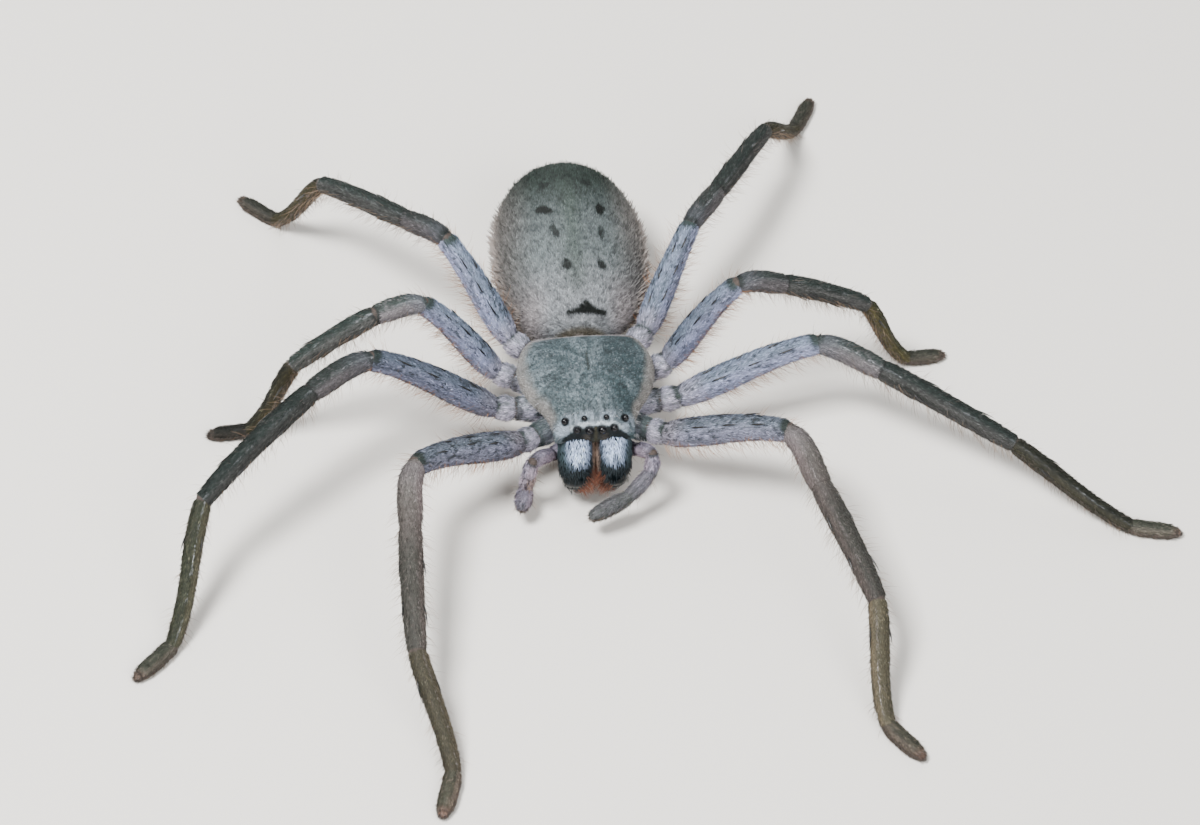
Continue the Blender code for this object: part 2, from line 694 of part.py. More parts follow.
def build_leg(leg, side, parts, scraps, materials, draw):
    sign = SIDES[side]
    joints = leg_joints(leg, side)
    names = "leg_" + str(leg) + "_" + side + "_"
    ways = [(after - before).normalized() for before, after in zip(joints, joints[1:])]
    hip = joints[0]

    middle, normal = sternum_facet(leg, sign)
    root = middle + normal * GAP + Vector((0.0, 0.0, COXA_HEIGHT))
    root_way = (hip - root).normalized()
    coxa = segment_rings(root, hip, COXA_STATIONS, LEG_RING_POINTS, first_plane=(root, normal),
                         last_plane=joint_plane(hip, root_way, ways[0], -GAP / 2.0))
    add_object(names + "coxa", loft(coxa), materials["coxa"], parts, root)

    stations = {name: leg_stations(name, leg) for name in LEG_SEGMENTS}
    femur = segment_rings(
        hip, joints[1], stations["femur"], LEG_RING_POINTS,
        first_plane=joint_plane(hip, root_way, ways[0], GAP / 2.0),
        last_plane=joint_plane(joints[1], ways[0], ways[1], -GAP / 2.0))
    body = add_object(names + "femur", loft(femur), materials["femur"], parts, hip)
    add_spines("femur", hip, joints[1], stations["femur"], sign, scraps, draw)
    join_collection(body, scraps, "UNION")

    shin = bent_rings(joints[1:4], (stations["patella"], stations["tibia"]), LEG_RING_POINTS)
    shin[0] = slide_to_plane(shin[0], ways[1], joint_plane(joints[1], ways[0], ways[1], GAP / 2.0))
    shin[-1] = slide_to_plane(shin[-1], ways[2], joint_plane(joints[3], ways[2], ways[3], -GAP / 2.0))
    body = add_object(names + "patella_tibia", loft(shin), materials["shin"], parts, joints[1])
    add_spines("tibia", joints[2], joints[3], stations["tibia"], sign, scraps, draw)
    join_collection(body, scraps, "UNION")

    foot = bent_rings(joints[3:6], (stations["metatarsus"], stations["tarsus"]), LEG_RING_POINTS)
    foot[0] = slide_to_plane(foot[0], ways[3], joint_plane(joints[3], ways[2], ways[3], GAP / 2.0))
    for points in foot:
        for point in points:
            point.z = max(point.z, 0.0)
    body = add_object(names + "metatarsus_tarsus", loft(foot), materials["foot"], parts, joints[3])
    add_spines("metatarsus", joints[3], joints[4], stations["metatarsus"], sign, scraps, draw)
    join_collection(body, scraps, "UNION")


def stand_at_origin(parts):
    """Parent every part to one empty, and move it so that the box stands centred on z = 0."""
    root = bpy.data.objects.new(NAME + "_root", None)
    parts.objects.link(root)
    bpy.context.view_layer.update()
    solids = [obj for obj in parts.objects if obj.type == "MESH"]
    corners = [obj.matrix_world @ vertex.co for obj in solids for vertex in obj.data.vertices]
    low = [min(corner[axis] for corner in corners) for axis in range(3)]
    high = [max(corner[axis] for corner in corners) for axis in range(3)]
    for obj in solids:
        obj.parent = root
    root.location = (-(low[0] + high[0]) / 2.0, -(low[1] + high[1]) / 2.0, -low[2])


def main():
    clear_scene()
    parts = make_collection(NAME)
    cutters = make_collection("cutters")
    scraps = make_collection("pieces_to_join")
    materials = {name: make_material(name) for name in COLOURS}
    draw = random.Random(SPINE_SEED)

    build_carapace_and_eyes(parts, cutters, materials)
    build_sternum(parts, materials)
    build_pedicel(parts, materials)
    abdomen_surface = build_abdomen(parts, materials)
    build_spinnerets(parts, scraps, materials, abdomen_surface)
    build_mouthparts(parts, scraps, materials)
    for side, sign in SIDES.items():
        build_chelicera(side, sign, parts, materials)
        build_palp(side, sign, parts, materials)
        for leg in LEG_LENGTHS:
            build_leg(leg, side, parts, scraps, materials, draw)
    stand_at_origin(parts)


main()
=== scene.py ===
# A huntsman spider, life size: skin, shell plates, eyes, fangs, spines, claws and coat.
#
# Lengths are in millimetres until a mesh is made, and angles are in degrees.
# The head looks along -Y, +X is the spider's left, and the ground is z = 0.
# Places are measured from a point on the ground below the carapace.

import bpy
import math
import random
import numpy as np
from mathutils import Matrix, Vector


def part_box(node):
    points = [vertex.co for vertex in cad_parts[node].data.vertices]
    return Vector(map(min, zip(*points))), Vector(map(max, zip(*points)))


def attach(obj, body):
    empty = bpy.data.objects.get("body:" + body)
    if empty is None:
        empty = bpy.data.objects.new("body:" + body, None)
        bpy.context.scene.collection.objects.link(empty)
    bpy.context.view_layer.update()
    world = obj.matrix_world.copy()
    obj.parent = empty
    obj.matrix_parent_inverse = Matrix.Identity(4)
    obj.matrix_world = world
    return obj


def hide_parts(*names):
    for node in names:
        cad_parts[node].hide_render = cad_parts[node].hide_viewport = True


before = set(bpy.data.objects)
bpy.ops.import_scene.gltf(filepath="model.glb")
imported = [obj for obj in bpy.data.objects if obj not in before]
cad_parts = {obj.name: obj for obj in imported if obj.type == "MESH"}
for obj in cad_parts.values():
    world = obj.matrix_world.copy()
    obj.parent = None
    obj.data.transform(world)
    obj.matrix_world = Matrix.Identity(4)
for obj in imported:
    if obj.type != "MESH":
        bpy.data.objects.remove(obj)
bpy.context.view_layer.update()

MM = 0.001
SIDES = {"left": 1.0, "right": -1.0}
BODY = "root"
SEED = 11
CARAPACE_FRONT = -6.7

low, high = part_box("carapace")
SHIFT = np.array([(low.x + high.x) / 2.0, low.y - CARAPACE_FRONT * MM, 0.0])

# Camera: the photo's viewing angle on the spider, with a small roll
CAMERA_AZIMUTH = -10.09
CAMERA_ELEVATION = 50.54
CAMERA_DISTANCE = 383.1
CAMERA_TARGET = Vector((1.80, 2.30, 0.0))
CAMERA_ROLL = 4.39
CAMERA_LENS = 122.13
SENSOR_WIDTH = 36.0

# Legs: lengths of the segments, hip places, thickness, and the pose
LEG_SEGMENTS = ("femur", "patella", "tibia", "metatarsus", "tarsus")
LEG_LENGTHS = {
    1: (12.3, 6.2, 12.0, 11.2, 4.2),
    2: (13.8, 6.4, 14.0, 13.2, 4.4),
    3: (11.2, 4.8, 9.4, 9.4, 3.5),
    4: (11.6, 5.2, 11.0, 10.8, 4.3),
}
LEG_HIPS = {
    1: (6.65, -4.95, 5.3),
    2: (8.5, -0.65, 5.2),
    3: (7.95, 3.6, 5.2),
    4: (6.35, 7.25, 5.4),
}
LEG_THICKNESS = {1: 1.0, 2: 0.96, 3: 0.9, 4: 0.9}
LEG_HEADINGS = {
    (1, "left"): (22, 69, 72, 90, 54),
    (2, "left"): (-10, 26, 31, 36, 12),
    (3, "left"): (-10, -11, -5, 1, -5),
    (4, "left"): (-61, -53, -56, -56, -61),
    (1, "right"): (28, 80, 88, 104, 73),
    (2, "right"): (-2, 28, 41, 70, 44),
    (3, "right"): (-11, 19, 4, 8, 3),
    (4, "right"): (-44, -48, -47, -43, -44),
}
LEG_RISES = {
    (1, "left"): (22, -8, -13),
    (2, "left"): (16, -8, -14),
    (3, "left"): (56, -15, -28),
    (4, "left"): (20, 0, -8),
    (1, "right"): (21, -10, -13),
    (2, "right"): (33, -4, -14),
    (3, "right"): (51, 9, -37),
    (4, "right"): (47, -12, -16),
}
ANKLE_HEIGHT = 0.76
TOE_HEIGHT = 0.48
COXA_HEIGHT = 4.9
COXA_SHARE = 0.6
TROCHANTER_SHARE = 0.66
TROCHANTER_END = 0.97
COXA_SINK = 0.6
# Radii of the soft balls inside the joints
COXA_BALL = 0.95
HIP_BALL = 0.9
PALP_BALL = 0.5

# Breastplate outline, left half, front to rear, then height and share of the outline in the body core
STERNUM_OUTLINE = (
    (1.0, -3.7),
    (2.35, -3.6),
    (3.2, -2.1),
    (3.5, 0.3),
    (3.2, 2.5),
    (1.9, 4.4),
    (0.8, 4.8),
)
CORE_LEVELS = (
    (3.3, 0.5), (3.33, 0.72), (3.45, 0.88), (3.75, 0.97), (4.6, 1.0), (5.6, 1.0), (6.6, 1.0), (6.95, 0.9))

# Palp joints, root to tip, with x measured outwards
PALP_SEGMENTS = ("palp_femur", "palp_patella", "palp_tibia", "palp_tarsus")
PALP_JOINTS = {
    "left": ((3.45, -5.5, 4.1), (5.1, -7.9, 6.1), (4.95, -8.8, 4.7), (2.8, -10.45, 3.3), (-0.6, -11.85, 2.5)),
    "right": ((3.45, -5.5, 4.1), (5.83, -8.1, 6.2), (6.2, -8.2, 4.6), (6.4, -8.0, 2.3), (6.95, -10.15, 2.2)),
}

# Stations of each kind of limb: place along it, half width, half height
STATIONS = {
    "coxa": ((0.0, 0.95, 1.0), (0.3, 1.12, 1.16), (0.75, 1.2, 1.22), (1.0, 1.08, 1.1)),
    "trochanter": ((0.0, 1.0, 1.0), (0.5, 1.15, 1.15), (1.0, 1.02, 1.02)),
    "femur": ((0.0, 1.02, 1.02), (0.08, 1.27, 1.24), (0.3, 1.45, 1.4), (0.6, 1.32, 1.3), (0.88, 1.15, 1.13),
              (0.97, 1.12, 1.1), (1.0, 1.04, 1.02)),
    "patella": ((0.0, 0.96, 0.96), (0.12, 1.08, 1.06), (0.4, 1.15, 1.12), (0.85, 1.14, 1.12),
                (1.0, 1.04, 1.04)),
    "tibia": ((0.0, 1.0, 1.0), (0.06, 1.08, 1.07), (0.2, 1.12, 1.1), (0.55, 1.06, 1.04), (0.9, 0.96, 0.94),
              (1.0, 0.88, 0.88)),
    "metatarsus": ((0.0, 0.78, 0.78), (0.05, 0.86, 0.85), (0.15, 0.9, 0.88), (0.6, 0.84, 0.82),
                   (0.88, 0.78, 0.76), (1.0, 0.72, 0.72)),
    "tarsus": ((0.0, 0.68, 0.68), (0.1, 0.76, 0.74), (0.4, 0.8, 0.78), (0.65, 0.8, 0.76), (0.88, 0.68, 0.66),
               (1.0, 0.42, 0.42)),
    "palp_femur": ((0.0, 0.5, 0.5), (0.3, 0.6, 0.6), (0.75, 0.68, 0.68), (1.0, 0.6, 0.6)),
    "palp_patella": ((0.0, 0.58, 0.58), (0.5, 0.7, 0.7), (1.0, 0.62, 0.62)),
    "palp_tibia": ((0.0, 0.6, 0.6), (0.55, 0.7, 0.7), (1.0, 0.6, 0.6)),
    "palp_tarsus": ((0.0, 0.6, 0.6), (0.35, 0.75, 0.75), (0.75, 0.7, 0.7),
                   (0.93, 0.6, 0.6), (1.0, 0.48, 0.48)),
    "pedicel": ((0.0, 1.15, 1.0), (0.35, 0.9, 0.85), (0.7, 0.85, 0.85), (1.0, 1.2, 1.1)),
    "labium": ((0.0, 0.95, 0.5), (0.6, 0.9, 0.45), (1.0, 0.6, 0.3)),
    "maxilla": ((0.0, 1.0, 0.5), (0.35, 1.0, 0.5), (0.75, 0.85, 0.42), (1.0, 0.55, 0.28)),
    "spinneret_base": ((0.0, 1.2, 1.0), (0.5, 1.1, 0.9), (1.0, 0.9, 0.75)),
    "spinneret": ((0.0, 0.38, 0.38), (0.6, 0.34, 0.34), (0.9, 0.26, 0.26), (1.0, 0.18, 0.18)),
}
# Depth of the coat that the skin leaves inside the solids, and length of the rounded ends
COAT_DEPTH = {"coxa": 0.08, "trochanter": 0.08, "femur": 0.12, "patella": 0.1, "tibia": 0.1,
              "metatarsus": 0.09, "tarsus": 0.1, "palp_femur": 0.06, "palp_patella": 0.06,
              "palp_tibia": 0.06, "palp_tarsus": 0.08}
USUAL_ROUND_END = 0.3
ROUND_END = {"coxa": 0.5, "trochanter": 0.35, "femur": 0.5, "patella": 0.5, "tibia": 0.4, "metatarsus": 0.4,
             "tarsus": 0.35, "labium": 0.2, "maxilla": 0.25, "spinneret": 0.1}
# How far a segment's ends turn towards the segments before and after it
BOW_SHARES = {"femur": (0.0, 0.45), "patella": (0.8, 0.6), "tibia": (0.5, 0.3), "metatarsus": (0.35, 0.6),
              "tarsus": (0.4, 0.0), "palp_femur": (0.0, 0.4), "palp_patella": (0.6, 0.6),
              "palp_tibia": (0.5, 0.5), "palp_tarsus": (0.4, 0.0)}
# Rings along a limb: usual distance and fewest, for the skin and for the ground that its fur grows on
SKIN_RINGS = (0.3, 4)
FUR_RINGS = (0.5, 6)
LIMB_POINTS = 28
# Reach of the rings of a rounded end, as shares of its length
CAP_REACH = np.sin(np.radians(np.arange(15.0, 90.0, 15.0)))
JOINT_SHARE = 0.93
# Points round a ball, its rows, and the latitude of its last row
JOINT_BALL = (24, 14, 82.0)
EYE_BALL = (32, 18, 86.0)

# Abdomen
ABDOMEN_FRONT = 6.35
ABDOMEN_REAR = 27.7
ABDOMEN_WIDEST = 17.2
ABDOMEN_HALF_WIDTH = 7.2
ABDOMEN_ABOVE = 5.0
ABDOMEN_BELOW = 4.7
ABDOMEN_HEIGHT = 5.8
ABDOMEN_LIFT = 0.4
ABDOMEN_TURN = 1.5
ABDOMEN_BLUNT_FRONT = 2.4
ABDOMEN_BLUNT_REAR = 2.1
ABDOMEN_COAT = 0.22
ABDOMEN_CENTRE = np.array([0.3, ABDOMEN_WIDEST, ABDOMEN_HEIGHT])
ABDOMEN_AROUND = 96
ABDOMEN_ALONG = 84

# Carapace stations: y, half width, height of the midline
CARAPACE_UNDERSIDE = 6.72
CARAPACE_RIM = 7.05
CARAPACE_DOME = 2.3
CARAPACE_COAT = 0.08
CARAPACE_STATIONS = (
    (5.5, 3.6, 7.25),
    (5.35, 4.55, 7.65),
    (4.7, 5.3, 8.4),
    (3.7, 5.85, 9.0),
    (2.4, 6.25, 9.45),
    (0.8, 6.3, 9.6),
    (-0.8, 5.95, 9.6),
    (-2.2, 5.25, 9.6),
    (-3.5, 4.4, 9.6),
    (-4.6, 3.95, 9.45),
    (-5.5, 3.75, 9.1),
    (-6.2, 3.65, 8.6),
    (-6.55, 3.55, 8.0),
    (-6.7, 3.3, 7.4),
)
CARAPACE_ALONG = 150
CARAPACE_AROUND = 130
EYES = ("anterior_median", "anterior_lateral", "posterior_median", "posterior_lateral")
SMALL_EYE = 0.27

# Chelicerae: ends of the axis, its bow, and stations of place, half width and half depth
CHELICERA_TOP = Vector((1.7, -5.45, 6.9))
CHELICERA_END = Vector((1.72, -7.95, 2.3))
CHELICERA_BOW = Vector((0.0, -0.35, 0.1))
CHELICERA_STATIONS = (
    (0.0, 1.42, 1.25),
    (0.15, 1.52, 1.46),
    (0.35, 1.56, 1.54),
    (0.6, 1.52, 1.5),
    (0.8, 1.42, 1.38),
    (0.93, 1.22, 1.18),
    (1.0, 0.95, 0.9),
)
CHELICERA_ALONG = 28
CHELICERA_AROUND = 40
CHELICERA_CAP = 0.07
FANG_HALF_WIDTHS = (0.42, 0.4, 0.33, 0.24, 0.13, 0.05)
FANG_RINGS = 24
FANG_AROUND = 20
FANG_START = 0.2
FANG_DROP = 0.85
FANG_TIP_X = 0.28
FANG_TIP_BACK = 0.95
FANG_TIP_RISE = 0.25

# Markings of the abdomen: x, y, half width across, half length, strength
SPOTS = (
    (-1.72, 22.29, 0.55, 0.5, 0.75),
    (2.25, 22.28, 0.55, 0.5, 0.65),
    (-2.3, 19.05, 0.55, 0.45, 1.0),
    (-1.85, 18.7, 0.5, 0.45, 1.0),
    (3.22, 18.72, 0.5, 0.7, 1.0),
    (-1.55, 16.5, 0.35, 0.5, 0.8),
    (-1.25, 15.9, 0.35, 0.5, 0.85),
    (3.05, 16.15, 0.35, 0.5, 0.7),
    (2.9, 15.6, 0.35, 0.5, 0.8),
    (-0.65, 12.23, 0.45, 0.6, 0.95),
    (2.67, 12.19, 0.43, 0.6, 0.95),
)
TRIANGLE_X = 0.78
TRIANGLE_TIP_Y = 8.75
TRIANGLE_BASE_Y = 7.72
TRIANGLE_HALF_WIDTH = 2.0


def smooth(places, values, wanted):
    """Smooth curve through stations, read at the wanted places."""
    places = np.asarray(places, float)
    values = np.asarray(values, float)
    slopes = np.gradient(values, places)
    index = np.clip(np.searchsorted(places, wanted) - 1, 0, len(places) - 2)
    span = places[index + 1] - places[index]
    t = (wanted - places[index]) / span
    return ((2 * t ** 3 - 3 * t ** 2 + 1) * values[index] + (t ** 3 - 2 * t ** 2 + t) * slopes[index] * span
            + (3 * t ** 2 - 2 * t ** 3) * values[index + 1] + (t ** 3 - t ** 2) * slopes[index + 1] * span)


def blend(first, second, share):
    """Colours between two colours, by a share from 0 to 1 for each row."""
    share = np.clip(np.asarray(share, float), 0.0, 1.0)[..., None]
    return np.asarray(first, float) * (1.0 - share) + np.asarray(second, float) * share


def ramp(values, start, end):
    """Smooth step from 0 at start to 1 at end."""
    t = np.clip((np.asarray(values, float) - start) / (end - start), 0.0, 1.0)
    return t * t * (3.0 - 2.0 * t)


def bell(values, width):
    """Smooth bump, 1 at zero and nearly 0 beyond twice the width."""
    return np.exp(-(values / width) ** 2)


def noise(points, size, seed):
    """Smooth random value from 0 to 1 at each point, with lumps of a size."""
    grid = np.asarray(points, float) / size
    base = np.floor(grid).astype(np.int64)
    part = grid - base
    part = part * part * (3.0 - 2.0 * part)
    total = np.zeros(len(grid))
    for corner in range(8):
        step = np.array([corner & 1, corner >> 1 & 1, corner >> 2 & 1])
        cell = base + step
        mixed = cell[:, 0] * 73856093 ^ cell[:, 1] * 19349663 ^ cell[:, 2] * 83492791 ^ seed * 2654435761
        mixed = (mixed ^ mixed >> 13) * 1274126177 & 0xFFFFFFFF
        value = (mixed ^ mixed >> 16) % 65536 / 65535.0
        weight = np.prod(np.where(step, part, 1.0 - part), axis=1)
        total += value * weight
    return total


def direction_of(heading, rise):
    heading = math.radians(heading)
    rise = math.radians(rise)
    flat = math.cos(rise)
    return Vector((math.cos(heading) * flat, math.sin(heading) * flat, math.sin(rise)))


def unit(rows):
    return rows / np.maximum(np.linalg.norm(rows, axis=-1, keepdims=True), 1e-9)


def ring_angles(count):
    return np.arange(count) * 2.0 * math.pi / count


def ring(centre, width, height, level, raised, count):
    """Points round a centre, in the plane of two directions."""
    angles = ring_angles(count)
    beside = np.array(centre) + np.outer(np.cos(angles) * width, level)
    return beside + np.outer(np.sin(angles) * height, raised)


class Limb:
    """Round piece of skin along a bent line, with rounded ends."""

    def __init__(self, kind, start, end, thickness=1.0, leg=None, side=None):
        self.kind = kind
        self.leg = leg
        self.side = side
        self.start = np.array(start, float)
        self.end = np.array(end, float)
        self.centre = (self.start + self.end) / 2.0
        self.length = float(np.linalg.norm(self.end - self.start))
        self.way = (self.end - self.start) / self.length
        level = unit(np.cross(self.way, (0.0, 0.0, 1.0)))
        self.up = unit(np.cross(level, self.way))
        self.front = level * SIDES.get(side, 1.0)
        stations = np.array(STATIONS[kind])
        depth = COAT_DEPTH.get(kind, 0.0)
        self.places = stations[:, 0]
        self.widths = stations[:, 1] * thickness - depth
        self.heights = stations[:, 2] * thickness - depth
        self.cap = ROUND_END.get(kind, USUAL_ROUND_END)
        self.leave = np.zeros(3)
        self.arrive = np.zeros(3)

    def bow(self, before, after):
        """Curves the axis, so that it leaves and arrives nearer to the directions of its neighbours."""
        share_before, share_after = BOW_SHARES[self.kind]
        for name, other, share in (("leave", before, share_before), ("arrive", after, share_after)):
            if other is not None:
                tangent = unit(self.way * (1.0 - share) + unit(self.way + other.way) * share)
                setattr(self, name, (tangent / (tangent @ self.way) - self.way) * self.length)

    def axis(self, along):
        t = np.clip(np.asarray(along, float) / self.length, 0.0, 1.0)[..., None]
        bent = self.leave * (t ** 3 - 2.0 * t ** 2 + t) + self.arrive * (t ** 3 - t ** 2)
        return self.start + self.way * np.asarray(along, float)[..., None] + bent

    def radii(self, along):
        place = np.clip(along / self.length, 0.0, 1.0)
        over = np.maximum(np.maximum(-along, along - self.length), 0.0) / self.cap
        share = np.sqrt(np.maximum(1.0 - over ** 2, 0.0))
        width = smooth(self.places, self.widths, place)
        return width * share, smooth(self.places, self.heights, place) * share

    def surface(self, along, angle):
        """Points and outward normals at distances along the limb and angles round it."""
        width, height = self.radii(along)
        cos, sin = np.cos(angle), np.sin(angle)
        across = self.front * (width * cos)[..., None] + self.up * (height * sin)[..., None]
        points = self.axis(along) + across
        step = 0.05
        grown = self.radii(along + step)[0] - self.radii(along - step)[0]
        slope = grown / (2.0 * step)
        normals = unit(self.front * cos[..., None] + self.up * sin[..., None])
        return points, unit(normals - self.way * np.clip(slope, -3.0, 3.0)[..., None])

    def grid(self, step, fewest):
        """Rings of points from one rounded end to the other."""
        body = np.linspace(0.0, self.length, max(fewest, int(self.length / step)))
        along = np.concatenate([-self.cap * CAP_REACH[::-1], body, self.length + self.cap * CAP_REACH])
        along, angle = np.meshgrid(along, ring_angles(LIMB_POINTS), indexing="ij")
        return self.surface(along, angle)[0]

    def shell(self):
        return tube_arrays(self.grid(*SKIN_RINGS))

    def place(self, points):
        """Distances along the limb, and offsets from its axis."""
        along = (points - self.start) @ self.way
        return along, points - self.axis(along)

    def find(self, points):
        """How far outside the limb points are, with their place along and round it."""
        along, offset = self.place(points)
        x, z = offset @ self.front, offset @ self.up
        near = np.clip(along, -self.cap * 0.98, self.length + self.cap * 0.98)
        width, height = self.radii(near)
        level = np.hypot(x / np.maximum(width, 0.02), z / np.maximum(height, 0.02))
        outside = (level - 1.0) * np.minimum(width, height)
        away = np.hypot(np.maximum(outside, 0.0), along - near) + np.minimum(outside, 0.0)
        return away, along, np.arctan2(z, x)


class Ball:
    """Round piece of soft skin inside a joint."""

    def __init__(self, centre, radius, leg=None, side=None):
        self.kind = "membrane"
        self.leg = leg
        self.side = side
        self.centre = np.array(centre, float)
        self.radius = radius
        self.length = radius

    def shell(self):
        return ball_arrays(self.centre, self.radius, *JOINT_BALL)

    def find(self, points):
        offset = points - self.centre
        away = np.linalg.norm(offset, axis=1)
        return away - self.radius, away, np.arctan2(offset[:, 2], offset[:, 0])


def ball_arrays(centre, radius, around, rows, steepest):
    """Closed ball, with a small flat above and below."""
    latitude = np.radians(np.linspace(-steepest, steepest, rows))
    longitude = np.radians(np.arange(around) * (360.0 / around))
    latitude, longitude = np.meshgrid(latitude, longitude, indexing="ij")
    flat = np.cos(latitude)
    ball = np.stack([flat * np.cos(longitude), flat * np.sin(longitude), np.sin(latitude)], axis=-1)
    return tube_arrays(centre + ball * radius)


def tube_arrays(rings):
    """Vertices and triangles of a closed tube through rings, its faces pointing out."""
    count, around, _ = rings.shape
    points = np.concatenate([rings.reshape(-1, 3), rings[:1].mean(axis=1), rings[-1:].mean(axis=1)])
    here = np.arange(around)
    beside = (here + 1) % around
    rows = np.arange(count - 1)[:, None] * around
    a, b = rows + here, rows + beside
    c, d = b + around, a + around
    first, last = count * around, count * around + 1
    end = (count - 1) * around
    triangles = np.concatenate([
        np.stack([a, b, c], -1).reshape(-1, 3),
        np.stack([a, c, d], -1).reshape(-1, 3),
        np.stack([beside, here, np.full(around, first)], -1),
        np.stack([end + here, end + beside, np.full(around, last)], -1)])
    corners = points[triangles]
    volume = np.einsum("ij,ij->i", corners[:, 0], np.cross(corners[:, 1], corners[:, 2])).sum()
    return points, triangles if volume > 0.0 else triangles[:, ::-1]


def add_object(name, data):
    obj = bpy.data.objects.new(name, data)
    bpy.context.scene.collection.objects.link(obj)
    return obj


def add_mesh(name, points, triangles, materials=(), is_smooth=True):
    """Object in metres from points in millimetres."""
    mesh = bpy.data.meshes.new(name)
    mesh.vertices.add(len(points))
    mesh.vertices.foreach_set("co", (np.asarray(points) * MM + SHIFT).astype(np.float32).ravel())
    mesh.loops.add(3 * len(triangles))
    mesh.loops.foreach_set("vertex_index", np.asarray(triangles, np.int32).ravel())
    mesh.polygons.add(len(triangles))
    mesh.polygons.foreach_set("loop_start", np.arange(0, 3 * len(triangles), 3, dtype=np.int32))
    mesh.polygons.foreach_set("use_smooth", np.full(len(triangles), is_smooth))
    mesh.update(calc_edges=True)
    for material in materials:
        mesh.materials.append(material)
    return add_object(name, mesh)


def set_colours(mesh, colours):
    layer = mesh.color_attributes.new("markings", "FLOAT_COLOR", "POINT")
    rgba = np.ones((len(colours), 4), np.float32)
    rgba[:, :3] = np.clip(colours, 0.0, 1.0)
    layer.data.foreach_set("color", rgba.ravel())


def finish_piece(obj, nodes=()):
    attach(obj, BODY)
    if nodes:
        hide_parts(*nodes)


def mesh_points(mesh):
    points = np.empty(len(mesh.vertices) * 3, np.float32)
    mesh.vertices.foreach_get("co", points)
    return (points.reshape(-1, 3).astype(float) - SHIFT) / MM


# Materials

def new_material(name, roughness, gloss):
    material = bpy.data.materials.new(name)
    material.use_nodes = True
    tree = material.node_tree
    shader = tree.nodes["Principled BSDF"]
    shader.inputs["Roughness"].default_value = roughness
    shader.inputs["Specular IOR Level"].default_value = gloss
    return material, tree, shader


def add_markings(tree):
    """Colour that is stored on the mesh."""
    colour = tree.nodes.new("ShaderNodeAttribute")
    colour.attribute_name = "markings"
    return colour.outputs["Color"]


def add_grain(tree, shader, size, detail, strength, depth):
    """Fine grain in relief, with the node that turns it into shades."""
    place = tree.nodes.new("ShaderNodeTexCoord")
    speckle = tree.nodes.new("ShaderNodeTexNoise")
    speckle.inputs["Scale"].default_value = 1.0 / (size * MM)
    speckle.inputs["Detail"].default_value = detail
    tree.links.new(place.outputs["Object"], speckle.inputs["Vector"])
    bump = tree.nodes.new("ShaderNodeBump")
    bump.inputs["Strength"].default_value = strength
    bump.inputs["Distance"].default_value = depth * MM
    tree.links.new(speckle.outputs["Fac"], bump.inputs["Height"])
    tree.links.new(bump.outputs["Normal"], shader.inputs["Normal"])
    shade = tree.nodes.new("ShaderNodeValToRGB")
    tree.links.new(speckle.outputs["Fac"], shade.inputs["Fac"])
    return shade


def fur_material():
    """Fur whose colour comes from its markings."""
    material, tree, shader = new_material("fur", 0.6, 0.22)
    tree.links.new(add_markings(tree), shader.inputs["Base Color"])
    shader.inputs["Sheen Weight"].default_value = 0.04
    return material


def skin_material(name, roughness, grain, depth):
    """Skin with its markings, and a fine grain in colour and relief."""
    material, tree, shader = new_material(name, roughness, 0.3)
    shade = add_grain(tree, shader, grain, 3.0, 0.6, depth)
    for element, position, value in zip(shade.color_ramp.elements, (0.3, 0.7), (0.45, 1.0)):
        element.position = position
        element.color = (value, value, value, 1.0)
    tint = tree.nodes.new("ShaderNodeMix")
    tint.data_type = "RGBA"
    tint.blend_type = "MULTIPLY"
    tint.inputs["Factor"].default_value = 0.7
    tree.links.new(add_markings(tree), tint.inputs[6])
    tree.links.new(shade.outputs["Color"], tint.inputs[7])
    tree.links.new(tint.outputs[2], shader.inputs["Base Color"])
    return material


def shell_material(name, colour, roughness, grain, depth, gloss=0.35, coat=0.25):
    """Hard glossy shell with a faint grain."""
    material, tree, shader = new_material(name, roughness, gloss)
    shade = add_grain(tree, shader, grain, 4.0, 0.3, depth)
    for element, factor in zip(shade.color_ramp.elements, (0.6, 1.5)):
        element.color = (*[factor * value for value in colour], 1.0)
    tree.links.new(shade.outputs["Color"], shader.inputs["Base Color"])
    shader.inputs["Coat Weight"].default_value = coat
    shader.inputs["Coat Roughness"].default_value = 0.08
    return material


# Shape of the body

def leg_joints(leg, side):
    """Joint centres of a leg from the hip to the toe."""
    sign = SIDES[side]
    x, y, z = LEG_HIPS[leg]
    joints = [Vector((x * sign, y, z))]
    rises = LEG_RISES[(leg, side)]
    for index, length in enumerate(LEG_LENGTHS[leg]):
        heading = -LEG_HEADINGS[(leg, side)][index]
        if index < len(rises):
            rise = rises[index]
        else:
            height = ANKLE_HEIGHT if index == len(rises) else TOE_HEIGHT
            drop = height * LEG_THICKNESS[leg] - joints[-1].z
            rise = math.degrees(math.asin(drop / length))
        way = direction_of(heading, rise)
        way.x *= sign
        joints.append(joints[-1] + way * length)
    return joints


def sternum_facet(leg, sign):
    """Middle of the breastplate's edge that a coxa grows from."""
    front, rear = (Vector((x * sign, y, COXA_HEIGHT)) for x, y in STERNUM_OUTLINE[leg:leg + 2])
    return (front + rear) / 2.0


def bow_limbs(limbs):
    """Curves a row of jointed limbs towards each other."""
    for before, limb, after in zip([None] + limbs[:-1], limbs, limbs[1:] + [None]):
        limb.bow(before, after)


